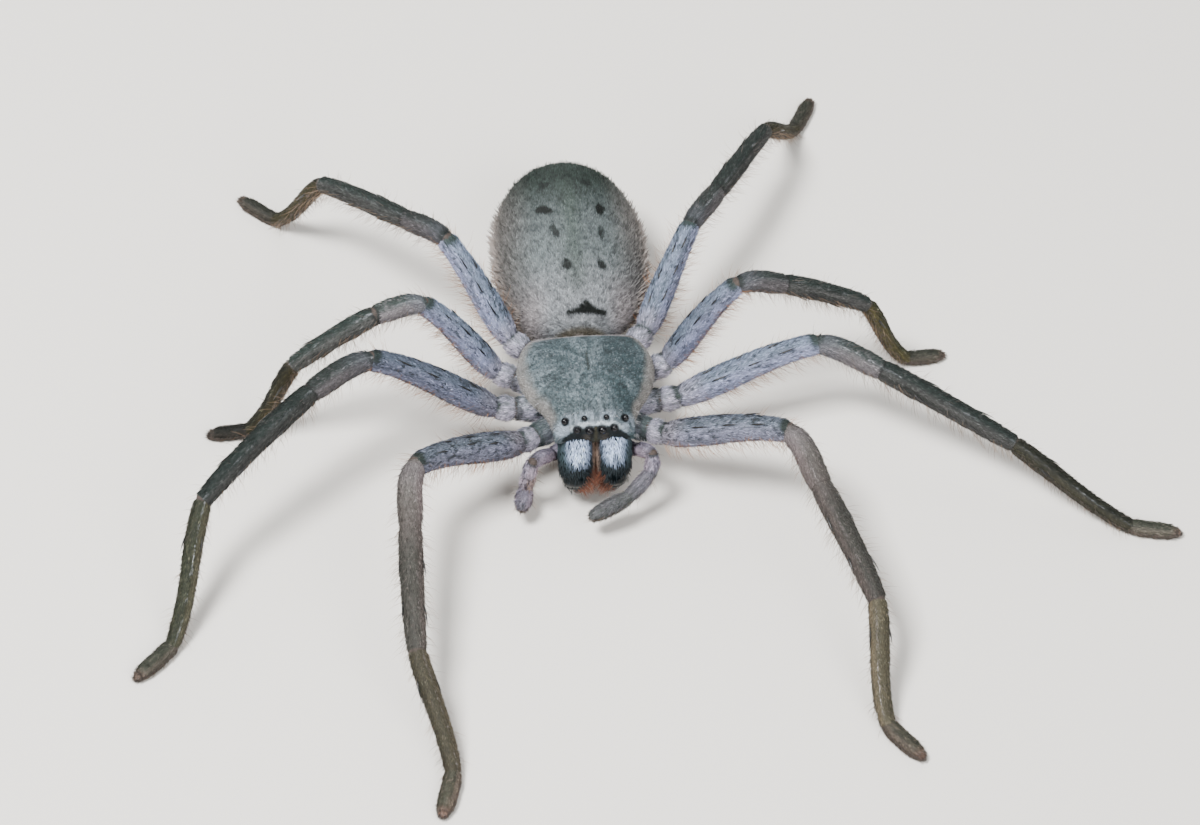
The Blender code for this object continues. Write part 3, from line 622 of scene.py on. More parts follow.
def leg_limbs(leg, side):
    thickness = LEG_THICKNESS[leg]
    joints = leg_joints(leg, side)
    facet = sternum_facet(leg, SIDES[side])
    hip = joints[0]
    inner = facet - (hip - facet).normalized() * COXA_SINK
    coxa_end, middle, start, end = (facet.lerp(hip, share) for share in (
        COXA_SHARE, (COXA_SHARE + TROCHANTER_SHARE) / 2.0, TROCHANTER_SHARE, TROCHANTER_END))
    hidden = [Limb("coxa", inner, coxa_end, 1.0, leg, side), Limb("trochanter", start, end, 1.0, leg, side)]
    limbs = [Limb(kind, start, end, thickness, leg, side)
             for kind, start, end in zip(LEG_SEGMENTS, joints, joints[1:])]
    bow_limbs(limbs)
    balls = [Ball(middle, COXA_BALL, leg, side), Ball(hip, HIP_BALL * thickness, leg, side)]
    balls += [Ball(joint, before.heights[-1] * JOINT_SHARE, leg, side)
              for before, joint in zip(limbs, joints[1:-1])]
    return hidden + limbs, balls


def palp_limbs(side):
    sign = SIDES[side]
    joints = [Vector((x * sign, y, z)) for x, y, z in PALP_JOINTS[side]]
    limbs = [Limb(kind, start, end, 1.0, "palp", side)
             for kind, start, end in zip(PALP_SEGMENTS, joints, joints[1:])]
    bow_limbs(limbs)
    balls = [Ball(joint, PALP_BALL, "palp", side) for joint in joints[1:-1]]
    root = joints[0] + Vector((-1.6 * sign, 1.3, 0.0))
    limbs.append(Limb("palp_femur", root, joints[0].lerp(joints[1], 0.12), 1.0, "palp", side))
    return limbs, balls


def core_shell():
    """Body core between the breastplate and the carapace."""
    left = [Vector((x, y)) for x, y in STERNUM_OUTLINE]
    outline = left + [Vector((-point.x, point.y)) for point in reversed(left)]
    centre = sum(outline, Vector((0.0, 0.0))) / len(outline)
    count = len(outline)
    ring = []
    for index in range(count):
        a, b, c, d = (outline[(index + step) % count] for step in (-1, 0, 1, 2))
        for t in (0.0, 0.25, 0.5, 0.75):
            ring.append(0.5 * (2 * b + (c - a) * t + (2 * a - 5 * b + 4 * c - d) * t ** 2
                               + (3 * b - a - 3 * c + d) * t ** 3))
    rings = [[(*centre.lerp(point, share), height) for point in ring] for height, share in CORE_LEVELS]
    return tube_arrays(np.array(rings))


def abdomen_grid():
    """Rings of points of the abdomen's skin, from front to rear."""
    polar = np.linspace(0.02, math.pi - 0.02, ABDOMEN_ALONG)
    along, turn = np.meshgrid(-np.cos(polar), ring_angles(ABDOMEN_AROUND), indexing="ij")
    rear = along > 0
    length = np.where(rear, ABDOMEN_REAR - ABDOMEN_WIDEST, ABDOMEN_WIDEST - ABDOMEN_FRONT) - ABDOMEN_COAT
    blunt = np.where(rear, ABDOMEN_BLUNT_REAR, ABDOMEN_BLUNT_FRONT)
    girth = np.maximum(0.0, 1.0 - np.abs(along) ** blunt) ** (1.0 / blunt)
    upward = np.sin(turn)
    half_height = np.where(upward > 0, ABDOMEN_ABOVE, ABDOMEN_BELOW) - ABDOMEN_COAT
    y = ABDOMEN_WIDEST + along * length
    x = np.cos(turn) * (ABDOMEN_HALF_WIDTH - ABDOMEN_COAT) * girth
    z = ABDOMEN_HEIGHT + ABDOMEN_LIFT * along + upward * half_height * girth
    bend = math.radians(ABDOMEN_TURN)
    behind = y - ABDOMEN_FRONT
    return np.stack([x * math.cos(bend) + behind * math.sin(bend), y - x * math.sin(bend), z], axis=-1)


def spinneret_limbs():
    facing = Vector((0.02, 0.97, -0.24)).normalized()
    root = Vector((0.53, 26.9, 3.3))
    limbs = [Limb("spinneret_base", root - facing * 0.5, root + facing * 0.5)]
    level = facing.cross(Vector((0.0, 0.0, 1.0))).normalized()
    upward = level.cross(facing)
    for across in (-0.45, 0.45):
        for rise, length in ((-0.35, 1.25), (0.35, 0.95)):
            offset = level * across + upward * rise
            start = root + facing * 0.2 + offset
            limbs.append(Limb("spinneret", start, start + (facing + offset * 0.38).normalized() * length))
    limbs.append(Limb("spinneret", root + facing * 0.2 + upward * 0.62, root + facing * 0.75 + upward * 0.75))
    return limbs


def mouth_limbs():
    front = STERNUM_OUTLINE[0][1]
    limbs = [Limb("labium", (0.0, front + 0.1, 3.6), (0.0, front - 1.8, 2.95))]
    for sign in SIDES.values():
        limbs.append(Limb("maxilla", (1.75 * sign, front, 3.55), (1.35 * sign, front - 2.1, 2.6)))
    return limbs


def carapace_grid(rows, columns):
    """Top of the carapace: rows from the rear to the front, each from the left rim to the right."""
    along, across = np.meshgrid(np.linspace(0.0, 1.0, rows), np.linspace(0.0, 1.0, columns), indexing="ij")
    stations = np.array(CARAPACE_STATIONS)
    steps = np.hypot(np.diff(stations[:, 0]), np.diff(stations[:, 1]))
    places = np.concatenate([[0.0], np.cumsum(steps)])
    places /= places[-1]
    y = smooth(places, stations[:, 0], along)
    half = smooth(places, stations[:, 1], along) - CARAPACE_COAT
    top = smooth(places, stations[:, 2], along) - CARAPACE_COAT
    angle = math.pi * across
    power = 2.0 / CARAPACE_DOME
    cos, sin = np.cos(angle), np.sin(angle)
    x = half * np.sign(cos) * np.abs(cos) ** power
    z = CARAPACE_RIM + (top - CARAPACE_RIM) * np.abs(sin) ** power
    return np.stack([x, y, z + carapace_relief(x, y) * np.abs(sin)], axis=-1)


def carapace_relief(x, y):
    """Central groove and radiating furrows."""
    groove = -0.16 * bell(x, 0.16) * ramp(y, -1.2, -0.4) * (1.0 - ramp(y, 2.4, 3.1))
    radius = np.hypot(x, y - 1.0)
    angle = np.degrees(np.arctan2(x, -(y - 1.0)))
    furrows = np.zeros_like(x)
    for middle in (32.0, 68.0, 104.0, 138.0):
        for sign in (-1.0, 1.0):
            furrows -= 0.035 * bell(angle - middle * sign, 7.0)
    return groove + furrows * ramp(radius, 0.8, 2.0) * (1.0 - ramp(radius, 4.2, 5.6))


def carapace_shell():
    top = carapace_grid(CARAPACE_ALONG, CARAPACE_AROUND)
    below = top[:, ::-8, :] * (0.985, 0.985, 1.0)
    below[..., 2] = CARAPACE_UNDERSIDE
    return tube_arrays(np.concatenate([top, below], axis=1))


def chelicera_rings(sign):
    """Rings of a chelicera from its top down, with its end and its direction."""
    places, widths, depths = np.array(CHELICERA_STATIONS).T
    top, end = (Vector((x * sign, y, z)) for x, y, z in (CHELICERA_TOP, CHELICERA_END))
    way = (end - top).normalized()
    level = Vector((1.0, 0.0, 0.0))
    forward = -level.cross(way).normalized()
    rings = []
    for place in (*np.linspace(0.0, 1.0, CHELICERA_ALONG), *(1.0 + CHELICERA_CAP * CAP_REACH)):
        inside = min(place, 1.0)
        over = max(0.0, place - 1.0) / CHELICERA_CAP
        share = math.sqrt(max(0.0, 1.0 - over ** 2))
        centre = top.lerp(end, place) + CHELICERA_BOW * (4.0 * inside * (1.0 - inside))
        width = float(smooth(places, widths, np.array(inside))) * share
        depth = float(smooth(places, depths, np.array(inside))) * share
        rings.append(ring(centre, width, depth, level, forward, CHELICERA_AROUND))
    return np.array(rings), np.array(end), np.array(way)


# Markings

BEIGE = (0.31, 0.25, 0.2)
PINK = (0.25, 0.12, 0.1)
BLACK = (0.004, 0.006, 0.005)
DARK = (0.016, 0.02, 0.018)
GREEN_BLACK = (0.02, 0.032, 0.026)
RUST = (0.13, 0.05, 0.03)
# Colour of the painted highlights along the ridges of the legs
GLINT = (0.7, 0.73, 0.78)

# Tones of each kind of limb: front, rear, beneath, dark streaks, then the strength of streaks and specks
LIMB_TONES = {
    "coxa": ((0.36, 0.35, 0.43), (0.27, 0.29, 0.33), BEIGE, (0.035, 0.055, 0.05), 0.85, 0.4),
    "trochanter": ((0.38, 0.36, 0.44), (0.3, 0.3, 0.37), BEIGE, (0.07, 0.09, 0.08), 0.65, 0.4),
    "femur": ((0.275, 0.3, 0.44), (0.165, 0.205, 0.28), (0.27, 0.21, 0.17), (0.05, 0.065, 0.075), 0.6, 0.45),
    "patella": ((0.235, 0.215, 0.225), (0.05, 0.066, 0.06), (0.2, 0.13, 0.1), (0.06, 0.062, 0.062),
                0.5, 0.35),
    "tibia": ((0.125, 0.125, 0.12), (0.03, 0.046, 0.04), (0.12, 0.095, 0.075), (0.01, 0.018, 0.014),
              0.6, 0.35),
    "metatarsus": ((0.108, 0.1, 0.064), (0.033, 0.037, 0.021), (0.1, 0.078, 0.045), (0.01, 0.016, 0.01),
                   0.6, 0.3),
    "tarsus": ((0.1, 0.088, 0.07), (0.035, 0.038, 0.027), (0.055, 0.048, 0.038), (0.016, 0.018, 0.013),
               0.7, 0.4),
    "palp": ((0.31, 0.26, 0.32), (0.2, 0.185, 0.24), (0.32, 0.21, 0.17), (0.03, 0.028, 0.036), 0.95, 0.5),
}
# Rings and patches near the joints: share of the length where they start and are full, tone, strength, side
LIMB_MARKS = {
    # The coxa's rings are dark joint skin; the one at its inner end is also painted shade under the carapace
    "coxa": ((0.14, 0.0, DARK, 0.8, "all"), (0.88, 1.0, DARK, 0.8, "all")),
    "trochanter": ((0.14, 0.0, DARK, 0.75, "all"), (0.7, 1.0, GREEN_BLACK, 0.95, "top"),
                   (0.85, 1.0, DARK, 0.5, "under")),
    "femur": ((0.25, 0.07, (0.38, 0.35, 0.42), 0.5, "all"), (0.025, 0.0, DARK, 0.85, "all"),
              (0.05, 0.01, GREEN_BLACK, 0.8, "top"), (0.93, 0.985, GREEN_BLACK, 0.95, "top"),
              (0.92, 0.98, RUST, 0.85, "under")),
    "patella": ((0.6, 0.0, (0.2, 0.215, 0.25), 0.6, "all"), (0.1, 0.02, GREEN_BLACK, 0.85, "top"),
                (0.2, 0.03, RUST, 0.7, "under"), (0.975, 1.0, DARK, 0.95, "all")),
    "tibia": ((0.02, 0.0, DARK, 0.95, "all"), (0.965, 1.0, PINK, 0.7, "under")),
    "metatarsus": ((0.035, 0.0, PINK, 0.7, "under"),),
    "tarsus": ((0.86, 1.0, (0.16, 0.1, 0.08), 0.5, "all"),),
    "palp": ((0.12, 0.02, DARK, 0.85, "all"), (0.9, 1.0, DARK, 0.5, "all")),
}
# How far the rings' edges wander, as a share of the length
RING_WOBBLES = {"coxa": 0.26, "trochanter": 0.4, "palp": 0.16, "patella": 0.06}
# How light the femur, patella, tibia, metatarsus and tarsus of each leg are
LEG_SHADES = {
    (1, "left"): (0.76, 0.8, 0.63, 1.3, 0.95),
    (1, "right"): (0.7, 0.95, 0.86, 0.78, 1.4),
    (2, "left"): (1.0, 0.58, 0.36, 0.28, 1.05),
    (2, "right"): (0.6, 0.42, 0.38, 0.75, 1.05),
    (3, "left"): (1.0, 0.38, 0.44, 0.68, 0.7),
    (3, "right"): (1.15, 0.9, 0.62, 0.24, 0.22),
    (4, "left"): (0.98, 0.34, 0.32, 0.26, 0.55),
    (4, "right"): (1.15, 0.28, 0.37, 0.3, 0.48),
}
FIRST_LEG_TINTS = {"femur": (1.04, 0.99, 0.92), "patella": (1.06, 0.94, 0.9), "tibia": (1.18, 0.94, 0.9),
                   "metatarsus": (1.15, 0.97, 0.92), "tarsus": (1.08, 0.97, 0.95)}
FIRST_LEG_EVEN = {"patella": (0.165, 0.138, 0.13), "tibia": (0.075, 0.064, 0.056),
                  "metatarsus": (0.067, 0.058, 0.04)}
FIRST_COXA = (0.06, 0.085, 0.085)
REAR_METATARSUS_TINT = (0.95, 0.88, 0.55)
# Dark tips of the palps: tone, and strength on each side
PALP_TIP = (0.075, 0.082, 0.075)
PALP_TIP_STRENGTHS = {"left": 1.0, "right": 0.2}
# Dark dashes of the femora: tone, then spacing along, spacing round in degrees, and how rare they are
DASH_TONE = (0.02, 0.027, 0.028)
DASHES = {1: (0.3, 8.0, 0.62), 2: (0.5, 8.0, 0.68), 3: (0.55, 8.0, 0.7), 4: (0.55, 8.0, 0.7)}


def round_noise(along, angle, step, turn, seed):
    """Random value that changes along a line and round it, with a number of steps for each."""
    return noise(np.stack([along * step, np.cos(angle) * turn, np.sin(angle) * turn], -1), 1.0, seed)


def speckled(colour, points, size, seed, spread):
    """Colours that are lighter and darker from place to place by up to a share."""
    return colour * (1.0 - spread + 2.0 * spread * noise(points, size, seed))[:, None]


def leg_colours(kind, share, angle, points, seed):
    """Colour of a leg segment at a share of its length and an angle round it (front 0, top 90 degrees)."""
    front, rear, beneath, dark, streaks, specks = LIMB_TONES[kind]
    cos, sin = np.cos(angle), np.sin(angle)
    streak = round_noise(share, angle, 4.0, 5.5, seed)
    speck = noise(points, 0.22, seed + 2)
    colour = blend(front, rear, ramp(sin - 0.6 * cos, 0.0, 0.85))
    colour = blend(colour, beneath, ramp(-sin, 0.2, 0.9) * 0.7)
    colour = blend(colour, dark, ramp(streak, 0.5, 0.78) * streaks)
    colour = blend(colour, np.array(front) * 1.5, ramp(speck, 0.66, 0.8) * specks)
    sides = {"all": 1.0, "top": ramp(sin, 0.1, 0.8), "under": ramp(-sin, 0.3, 0.95)}
    edge = share + RING_WOBBLES.get(kind, 0.02) * (noise(points, 0.55, seed + 4) - 0.5)
    for start, full, tone, strength, side in LIMB_MARKS[kind]:
        colour = blend(colour, tone, ramp(edge, start, full) * strength * sides[side])
    # Painted highlight: light glints in short dashes along the ridge of the patella, tibia and metatarsus
    if kind in ("patella", "tibia", "metatarsus"):
        dash = round_noise(share, angle, 9.0, 3.0, seed + 3)
        ridge_glint = bell(np.degrees(angle) - 66.0, 3.0) * ramp(dash, 0.5, 0.62)
        colour = blend(colour, GLINT, ridge_glint * (0.35 + 0.65 * ramp(speck, 0.4, 0.6)) * 0.5)
    return speckled(colour, points, 0.2, seed + 1, 0.25)


def limb_colours(limb, share, angle, points, seed):
    """Colour of a limb, with what its own leg and side add to its kind."""
    kind = "palp" if limb.kind.startswith("palp") else limb.kind
    colour = leg_colours(kind, share, angle, points, seed)
    if kind == "palp":
        dark = {"palp_tarsus": 0.8, "palp_tibia": 0.35 + 0.35 * np.clip(share, 0.0, 1.0)}.get(limb.kind, 0.0)
        return blend(colour, PALP_TIP, dark * PALP_TIP_STRENGTHS[limb.side])
    if kind == "femur":
        along, around, rare = DASHES[limb.leg]
        place = np.stack([share * limb.length / along, np.degrees(angle) / around, np.zeros(len(share))], -1)
        dashes = ramp(noise(place, 1.0, seed + 5), rare, rare + 0.1)
        colour = blend(colour, DASH_TONE, dashes * ramp(np.sin(angle), -0.2, 0.3) * 0.85)
    if limb.leg == 1:
        colour = colour * FIRST_LEG_TINTS.get(kind, (1.0, 1.0, 1.0))
        if kind in FIRST_LEG_EVEN:
            colour = blend(colour, FIRST_LEG_EVEN[kind], 0.5)
        if kind == "patella":
            colour = blend(colour, FIRST_LEG_EVEN["tibia"], ramp(share, 0.35, 1.0) * 0.5)
        if kind == "tibia":
            colour = blend(colour, FIRST_LEG_EVEN["patella"], (1.0 - ramp(share, 0.02, 0.3)) * 0.35)
        if kind == "coxa":
            colour = blend(colour, FIRST_COXA, 0.6)
    if limb.leg > 2 and kind == "metatarsus":
        colour = colour * REAR_METATARSUS_TINT
    if kind in LEG_SEGMENTS:
        colour = colour * LEG_SHADES[(limb.leg, limb.side)][LEG_SEGMENTS.index(kind)]
    return colour


def abdomen_colours(points):
    """Pale front, dark rear that is partly painted shade, paler sides, and black spots with a black triangle.
    """
    x, y, z = points.T
    middle = (y - ABDOMEN_FRONT) * math.sin(math.radians(ABDOMEN_TURN))
    broad = noise(points, 2.6, 32)
    side = ramp(np.abs(x - middle), 3.0, 7.0)
    grain = noise(points * np.array([1.0, 0.6, 1.0]), 0.15, 34)
    # Darker from the front to the rear: its own colour, with painted shade in part on the rear, which faces
    # away from the light
    colour = blend((0.27, 0.285, 0.3), (0.122, 0.144, 0.147), ramp(y, 7.6, 14.5))
    shoulders = (1.0 - ramp(y, 8.0, 12.5)) * ramp(np.abs(x - middle), 2.2, 4.4)
    colour = blend(colour, (0.32, 0.27, 0.27), shoulders * 0.6)
    # Dark rear: its own colour, with painted shade in part
    colour = blend(colour, (0.02, 0.03, 0.025), ramp(y, 14.5, 24.0) * (1.0 - 0.35 * side))
    right = ramp(-x, -1.0, 5.0)
    flank = blend((0.19, 0.16, 0.145), (0.13, 0.11, 0.1), right)
    colour = blend(colour, flank, side * (0.55 + 0.2 * broad) * (1.0 - 0.5 * ramp(y, 19.0, 26.0)))
    stripe = bell(x - middle, 0.9) * ramp(y, 8.5, 11.0) * (1.0 - ramp(y, 19.0, 24.0))
    colour = blend(colour, (0.05, 0.07, 0.055), stripe * 0.5)
    colour = blend(colour, colour * 0.35, ramp(grain, 0.5, 0.75) * 0.75)
    colour = blend(colour, (0.2, 0.172, 0.155), (1.0 - ramp(z, 2.5, 5.0)) * 0.8)
    colour = blend(colour, (0.12, 0.1, 0.06), (1.0 - ramp(y, 6.75, 7.1)) * 0.8)
    upper = ramp(z, 6.0, 7.0)
    wobble = (noise(points, 0.35, 33) - 0.5) * 0.5
    for spot_x, spot_y, half_width, half_length, strength in SPOTS:
        away = np.hypot((x - spot_x) / half_width, (y - spot_y) / half_length) + wobble
        colour = blend(colour, BLACK, (1.0 - ramp(away, 0.8, 1.15)) * strength * upper)
    across = np.abs(x - TRIANGLE_X)
    rise = (y - TRIANGLE_BASE_Y) / (TRIANGLE_TIP_Y - TRIANGLE_BASE_Y)
    tip = 0.4 + 0.6 * bell(across, 0.62)
    inside = (1.0 - ramp(rise, tip - 0.12, tip + 0.12)) * ramp(rise, -0.12, 0.08)
    inside = inside * (1.0 - ramp(across, TRIANGLE_HALF_WIDTH - 0.25, TRIANGLE_HALF_WIDTH)) * upper
    return speckled(blend(colour, BLACK, inside), points, 0.3, 31, 0.3)


# Dark furrows of the carapace: direction from the head's midline towards the left, and strength
FURROWS = ((-140.0, 0.4), (-104.0, 0.6), (-62.0, 0.7), (68.0, 0.7), (112.0, 0.6), (140.0, 0.4))


def face_level(y, z):
    """How far down the face a place lies, seen from the camera's height."""
    return -0.772 * y - 0.636 * z


def carapace_colours(points):
    """Dark rays and furrows on grey, painted shade over the left half, pale rims, and the head's white brow
    over its dark face.
    """
    x, y, z = points.T
    reach = np.abs(x)
    broad = noise(points, 1.3, 45)
    pepper = noise(points, 0.13, 43)
    radius = np.hypot(x, y - 1.0)
    angle = np.arctan2(x, 1.0 - y)
    rays = round_noise(radius, angle, 0.5, 5.0, 42)
    colour = blend((0.1, 0.129, 0.143), (0.045, 0.067, 0.074), ramp(rays, 0.4, 0.75) * 0.8)
    # Painted shade: the left half (+x) is darker, as if turned away from the light
    colour = blend(colour, (0.02, 0.036, 0.04), ramp(x, 0.6, 2.4) * (0.45 + 0.45 * ramp(broad, 0.2, 0.7)))
    lines = round_noise(radius, angle, 0.9, 15.0, 47)
    colour = blend(colour, colour * 0.5, ramp(lines, 0.5, 0.8) * 0.7)
    for middle, strength in FURROWS:
        beside = bell(np.degrees(angle) - middle, 9.0) * strength
        beside = beside * ramp(radius, 0.9, 1.8) * (1.0 - ramp(radius, 3.6, 4.8))
        colour = blend(colour, (0.02, 0.03, 0.033), beside)
    colour = blend(colour, (0.014, 0.022, 0.025), ramp(pepper, 0.54, 0.72) * 0.72)
    colour = blend(colour, (0.24, 0.27, 0.29), (1.0 - ramp(pepper, 0.2, 0.34)) * 0.2)
    stations = np.array(CARAPACE_STATIONS)[::-1]
    edge = reach / np.interp(y, stations[:, 0], stations[:, 1]) + 0.12 * (broad - 0.5)
    colour = blend(colour, (0.23, 0.215, 0.2), ramp(edge, 0.8, 1.02) * ramp(y, -5.8, -4.4) * 0.85)
    colour = blend(colour, (0.36, 0.33, 0.33), ramp(y, 4.5, 5.3) * 0.7)
    head = ramp(-y, 4.6, 5.6) * ramp(z, 7.2, 7.8)
    streaks = noise(points * np.array([4.0, 0.8, 1.0]), 1.0, 44)
    colour = blend(colour, (0.33, 0.39, 0.46), head * (0.12 + 0.5 * ramp(streaks, 0.45, 0.75)))
    groove = bell(x, 0.14) * ramp(y, -0.6, -0.2) * (1.0 - ramp(y, 1.8, 2.4))
    colour = blend(colour, DARK, groove * 0.9)
    level = face_level(y, z) + 0.59 - 0.036 * np.minimum(reach, 3.0) ** 3
    level = level + 0.25 * (noise(points, 0.3, 46) - 0.5)
    ahead = ramp(-y, 5.2, 5.6)
    brow = bell(level + 0.28, 0.22) * (1.0 - ramp(reach, 2.0, 2.6)) * ahead
    colour = blend(colour, (0.6, 0.68, 0.74), brow * 0.75)
    band = ramp(level, -0.12, 0.1) * (1.0 - ramp(reach, 2.85, 3.05)) * ahead
    tone = blend((0.006, 0.01, 0.012), (0.05, 0.045, 0.04), bell(reach - 0.75, 0.35) * ramp(level, 0.5, 0.8))
    tone = blend(tone, (0.05, 0.045, 0.025), bell(x, 0.16) * 0.8)
    colour = blend(colour, tone, band)
    for dash_x in (-0.95, 0.95):
        dash = bell(x - dash_x, 0.12) * ramp(-y, 4.1, 4.4) * (1.0 - ramp(-y, 5.0, 5.2))
        colour = blend(colour, (0.02, 0.028, 0.03), dash * 0.85)
    for _, centre, radius in eyes():
        gap = 0.02 if radius < SMALL_EYE else 0.1
        away = np.linalg.norm(points - centre, axis=1) - radius
        colour = blend(colour, (0.008, 0.011, 0.012), 1.0 - ramp(away, gap, gap + 0.12))
    return speckled(colour, points, 0.25, 41, 0.25)


def body_colours(points):
    colour = blend((0.16, 0.13, 0.1), (0.3, 0.27, 0.25), ramp(points[:, 2], 4.5, 6.5))
    return speckled(colour, points, 0.3, 51, 0.3)


def membrane_colours(points):
    return speckled(np.array((0.06, 0.045, 0.038)), points, 0.2, 61, 0.4)


PLAIN_PIECES = {"membrane": membrane_colours, "labium": body_colours, "maxilla": body_colours,
                "pedicel": body_colours, "spinneret": abdomen_colours, "spinneret_base": abdomen_colours}
# How near a piece's surface the skin takes its colours: ahead of the face, and elsewhere
FACE_END = -6.5
FACE_NEAR = 0.6
BODY_NEAR = 0.12
SEARCH_MARGIN = 3.0
WAIST_Y = 6.2


def skin_colours(points, pieces):
    """Markings of the skin at each point, by the limb or body part that it lies on."""
    distance = np.where(points[:, 1] < FACE_END, FACE_NEAR, BODY_NEAR)
    colours = body_colours(points)
    for number, piece in enumerate(pieces):
        near = np.flatnonzero(np.abs(points - piece.centre).max(axis=1) < piece.length + SEARCH_MARGIN)
        away, along, angle = piece.find(points[near])
        closer = np.abs(away) < distance[near]
        rows = near[closer]
        distance[rows] = np.abs(away[closer])
        if piece.kind in PLAIN_PIECES:
            colours[rows] = PLAIN_PIECES[piece.kind](points[rows])
        else:
            share = along[closer] / piece.length
            colours[rows] = limb_colours(piece, share, angle[closer], points[rows], 100 + 7 * (number % 60))
    behind = (points[:, 1] > WAIST_Y) & (distance > 0.1)
    colours[behind] = abdomen_colours(points[behind])
    return colours


# Build

def unite(name, shells):
    """One closed skin from many closed shells."""
    objects = [add_mesh(name + "_piece", points, triangles) for points, triangles in shells]
    body = objects[0]
    operands = bpy.data.collections.new("operands")
    for obj in objects[1:]:
        operands.objects.link(obj)
    join = body.modifiers.new("join", "BOOLEAN")
    join.operation = "UNION"
    join.operand_type = "COLLECTION"
    join.collection = operands
    join.solver = "MANIFOLD"
    bpy.context.view_layer.update()
    mesh = bpy.data.meshes.new_from_object(body.evaluated_get(bpy.context.evaluated_depsgraph_get()))
    for obj in objects:
        bpy.data.objects.remove(obj, do_unlink=True)
    bpy.data.collections.remove(operands)
    mesh.name = name
    return add_object(name, mesh)


SOFT_NODES = ("leg_", "palp_", "abdomen", "sternum", "pedicel", "spinnerets", "mouthparts")
SHARP_ANGLE = 45.0


def build_skin():
    """One skin over the legs, palps, mouth, body core, waist, abdomen and spinnerets."""
    limbs, balls = [], []
    for side in SIDES:
        for more_limbs, more_balls in [leg_limbs(leg, side) for leg in LEG_LENGTHS] + [palp_limbs(side)]:
            limbs += more_limbs
            balls += more_balls
    waist = Limb("pedicel", (0.0, 4.3, 5.2), (0.05, 7.6, 5.5))
    pieces = limbs + balls + [waist] + spinneret_limbs() + mouth_limbs()
    shells = [core_shell(), tube_arrays(abdomen_grid())] + [piece.shell() for piece in pieces]
    skin = unite("skin", shells)
    places = mesh_points(skin.data)
    places[:, 2] = np.maximum(places[:, 2], 0.0)
    skin.data.vertices.foreach_set("co", (places * MM + SHIFT).astype(np.float32).ravel())
    skin.data.materials.clear()
    skin.data.materials.append(skin_material("skin", 0.75, 0.12, 0.05))
    set_colours(skin.data, skin_colours(places, pieces))
    skin.data.shade_smooth()
    skin.data.set_sharp_from_angle(angle=math.radians(SHARP_ANGLE))
    finish_piece(skin, [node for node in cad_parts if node.startswith(SOFT_NODES)])
    return limbs, balls


def build_carapace():
    points, triangles = carapace_shell()
    plate = add_mesh("carapace_plate", points, triangles, [skin_material("carapace_plate", 0.6, 0.1, 0.04)])
    set_colours(plate.data, carapace_colours(points))
    finish_piece(plate, ["carapace"])


def node_box(node):
    corners = [(np.array(corner) - SHIFT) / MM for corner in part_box(node)]
    return (corners[0] + corners[1]) / 2.0, corners[1] - corners[0]


def eyes():
    """Name, centre and radius of each eye."""
    for eye in EYES:
        for side in SIDES:
            name = "eye_" + eye + "_" + side
            centre, size = node_box(name)
            yield name, centre, size.mean() / 2.0


def build_eyes():
    glass = shell_material("eye", (0.002, 0.002, 0.003), 0.04, 1.0, 0.0, 0.3, 0.1)
    for name, centre, radius in eyes():
        points, triangles = ball_arrays(centre, radius, *EYE_BALL)
        finish_piece(add_mesh(name + "_ball", points, triangles, [glass]), [name])


def build_fang(side, root, way, material):
    """Curved hook, thick where it leaves the chelicera and sharp at its tip."""
    elbow = root + way * FANG_DROP
    tip = Vector((FANG_TIP_X * SIDES[side], root.y + FANG_TIP_BACK, elbow.z + FANG_TIP_RISE))
    places = np.linspace(0.0, 1.0, FANG_RINGS)
    widths = smooth(np.linspace(0.0, 1.0, len(FANG_HALF_WIDTHS)), FANG_HALF_WIDTHS, places)
    rings = []
    for place, width in zip(places, widths):
        centre = root.lerp(elbow, place).lerp(elbow.lerp(tip, place), place)
        heading = (elbow - root).lerp(tip - elbow, place).normalized()
        level = heading.cross(Vector((0.0, 1.0, 0.0))).normalized()
        rings.append(ring(centre, width, width, level, level.cross(heading), FANG_AROUND))
    points, triangles = tube_arrays(np.array(rings))
    finish_piece(add_mesh("fang_hook_" + side, points, triangles, [material]), ["fang_" + side])


def build_chelicerae():
    black = shell_material("chelicera", (0.003, 0.005, 0.006), 0.13, 0.3, 0.02, 0.14, 0.0)
    black.node_tree.nodes["Principled BSDF"].inputs["Specular Tint"].default_value = (0.4, 0.45, 0.48, 1.0)
    red = shell_material("fang", (0.035, 0.008, 0.005), 0.18, 0.5, 0.01)
    for side, sign in SIDES.items():
        rings, end, way = chelicera_rings(sign)
        points, triangles = tube_arrays(rings)
        chelicera = add_mesh("chelicera_shell_" + side, points, triangles, [black])
        finish_piece(chelicera, ["chelicera_" + side])
        build_fang(side, Vector(end + way * FANG_START), Vector(way), red)


# Coat

TUFT_MIDDLE = 0.42
SINK = 0.04
LOWEST = 0.01
PATCH = 0.0015


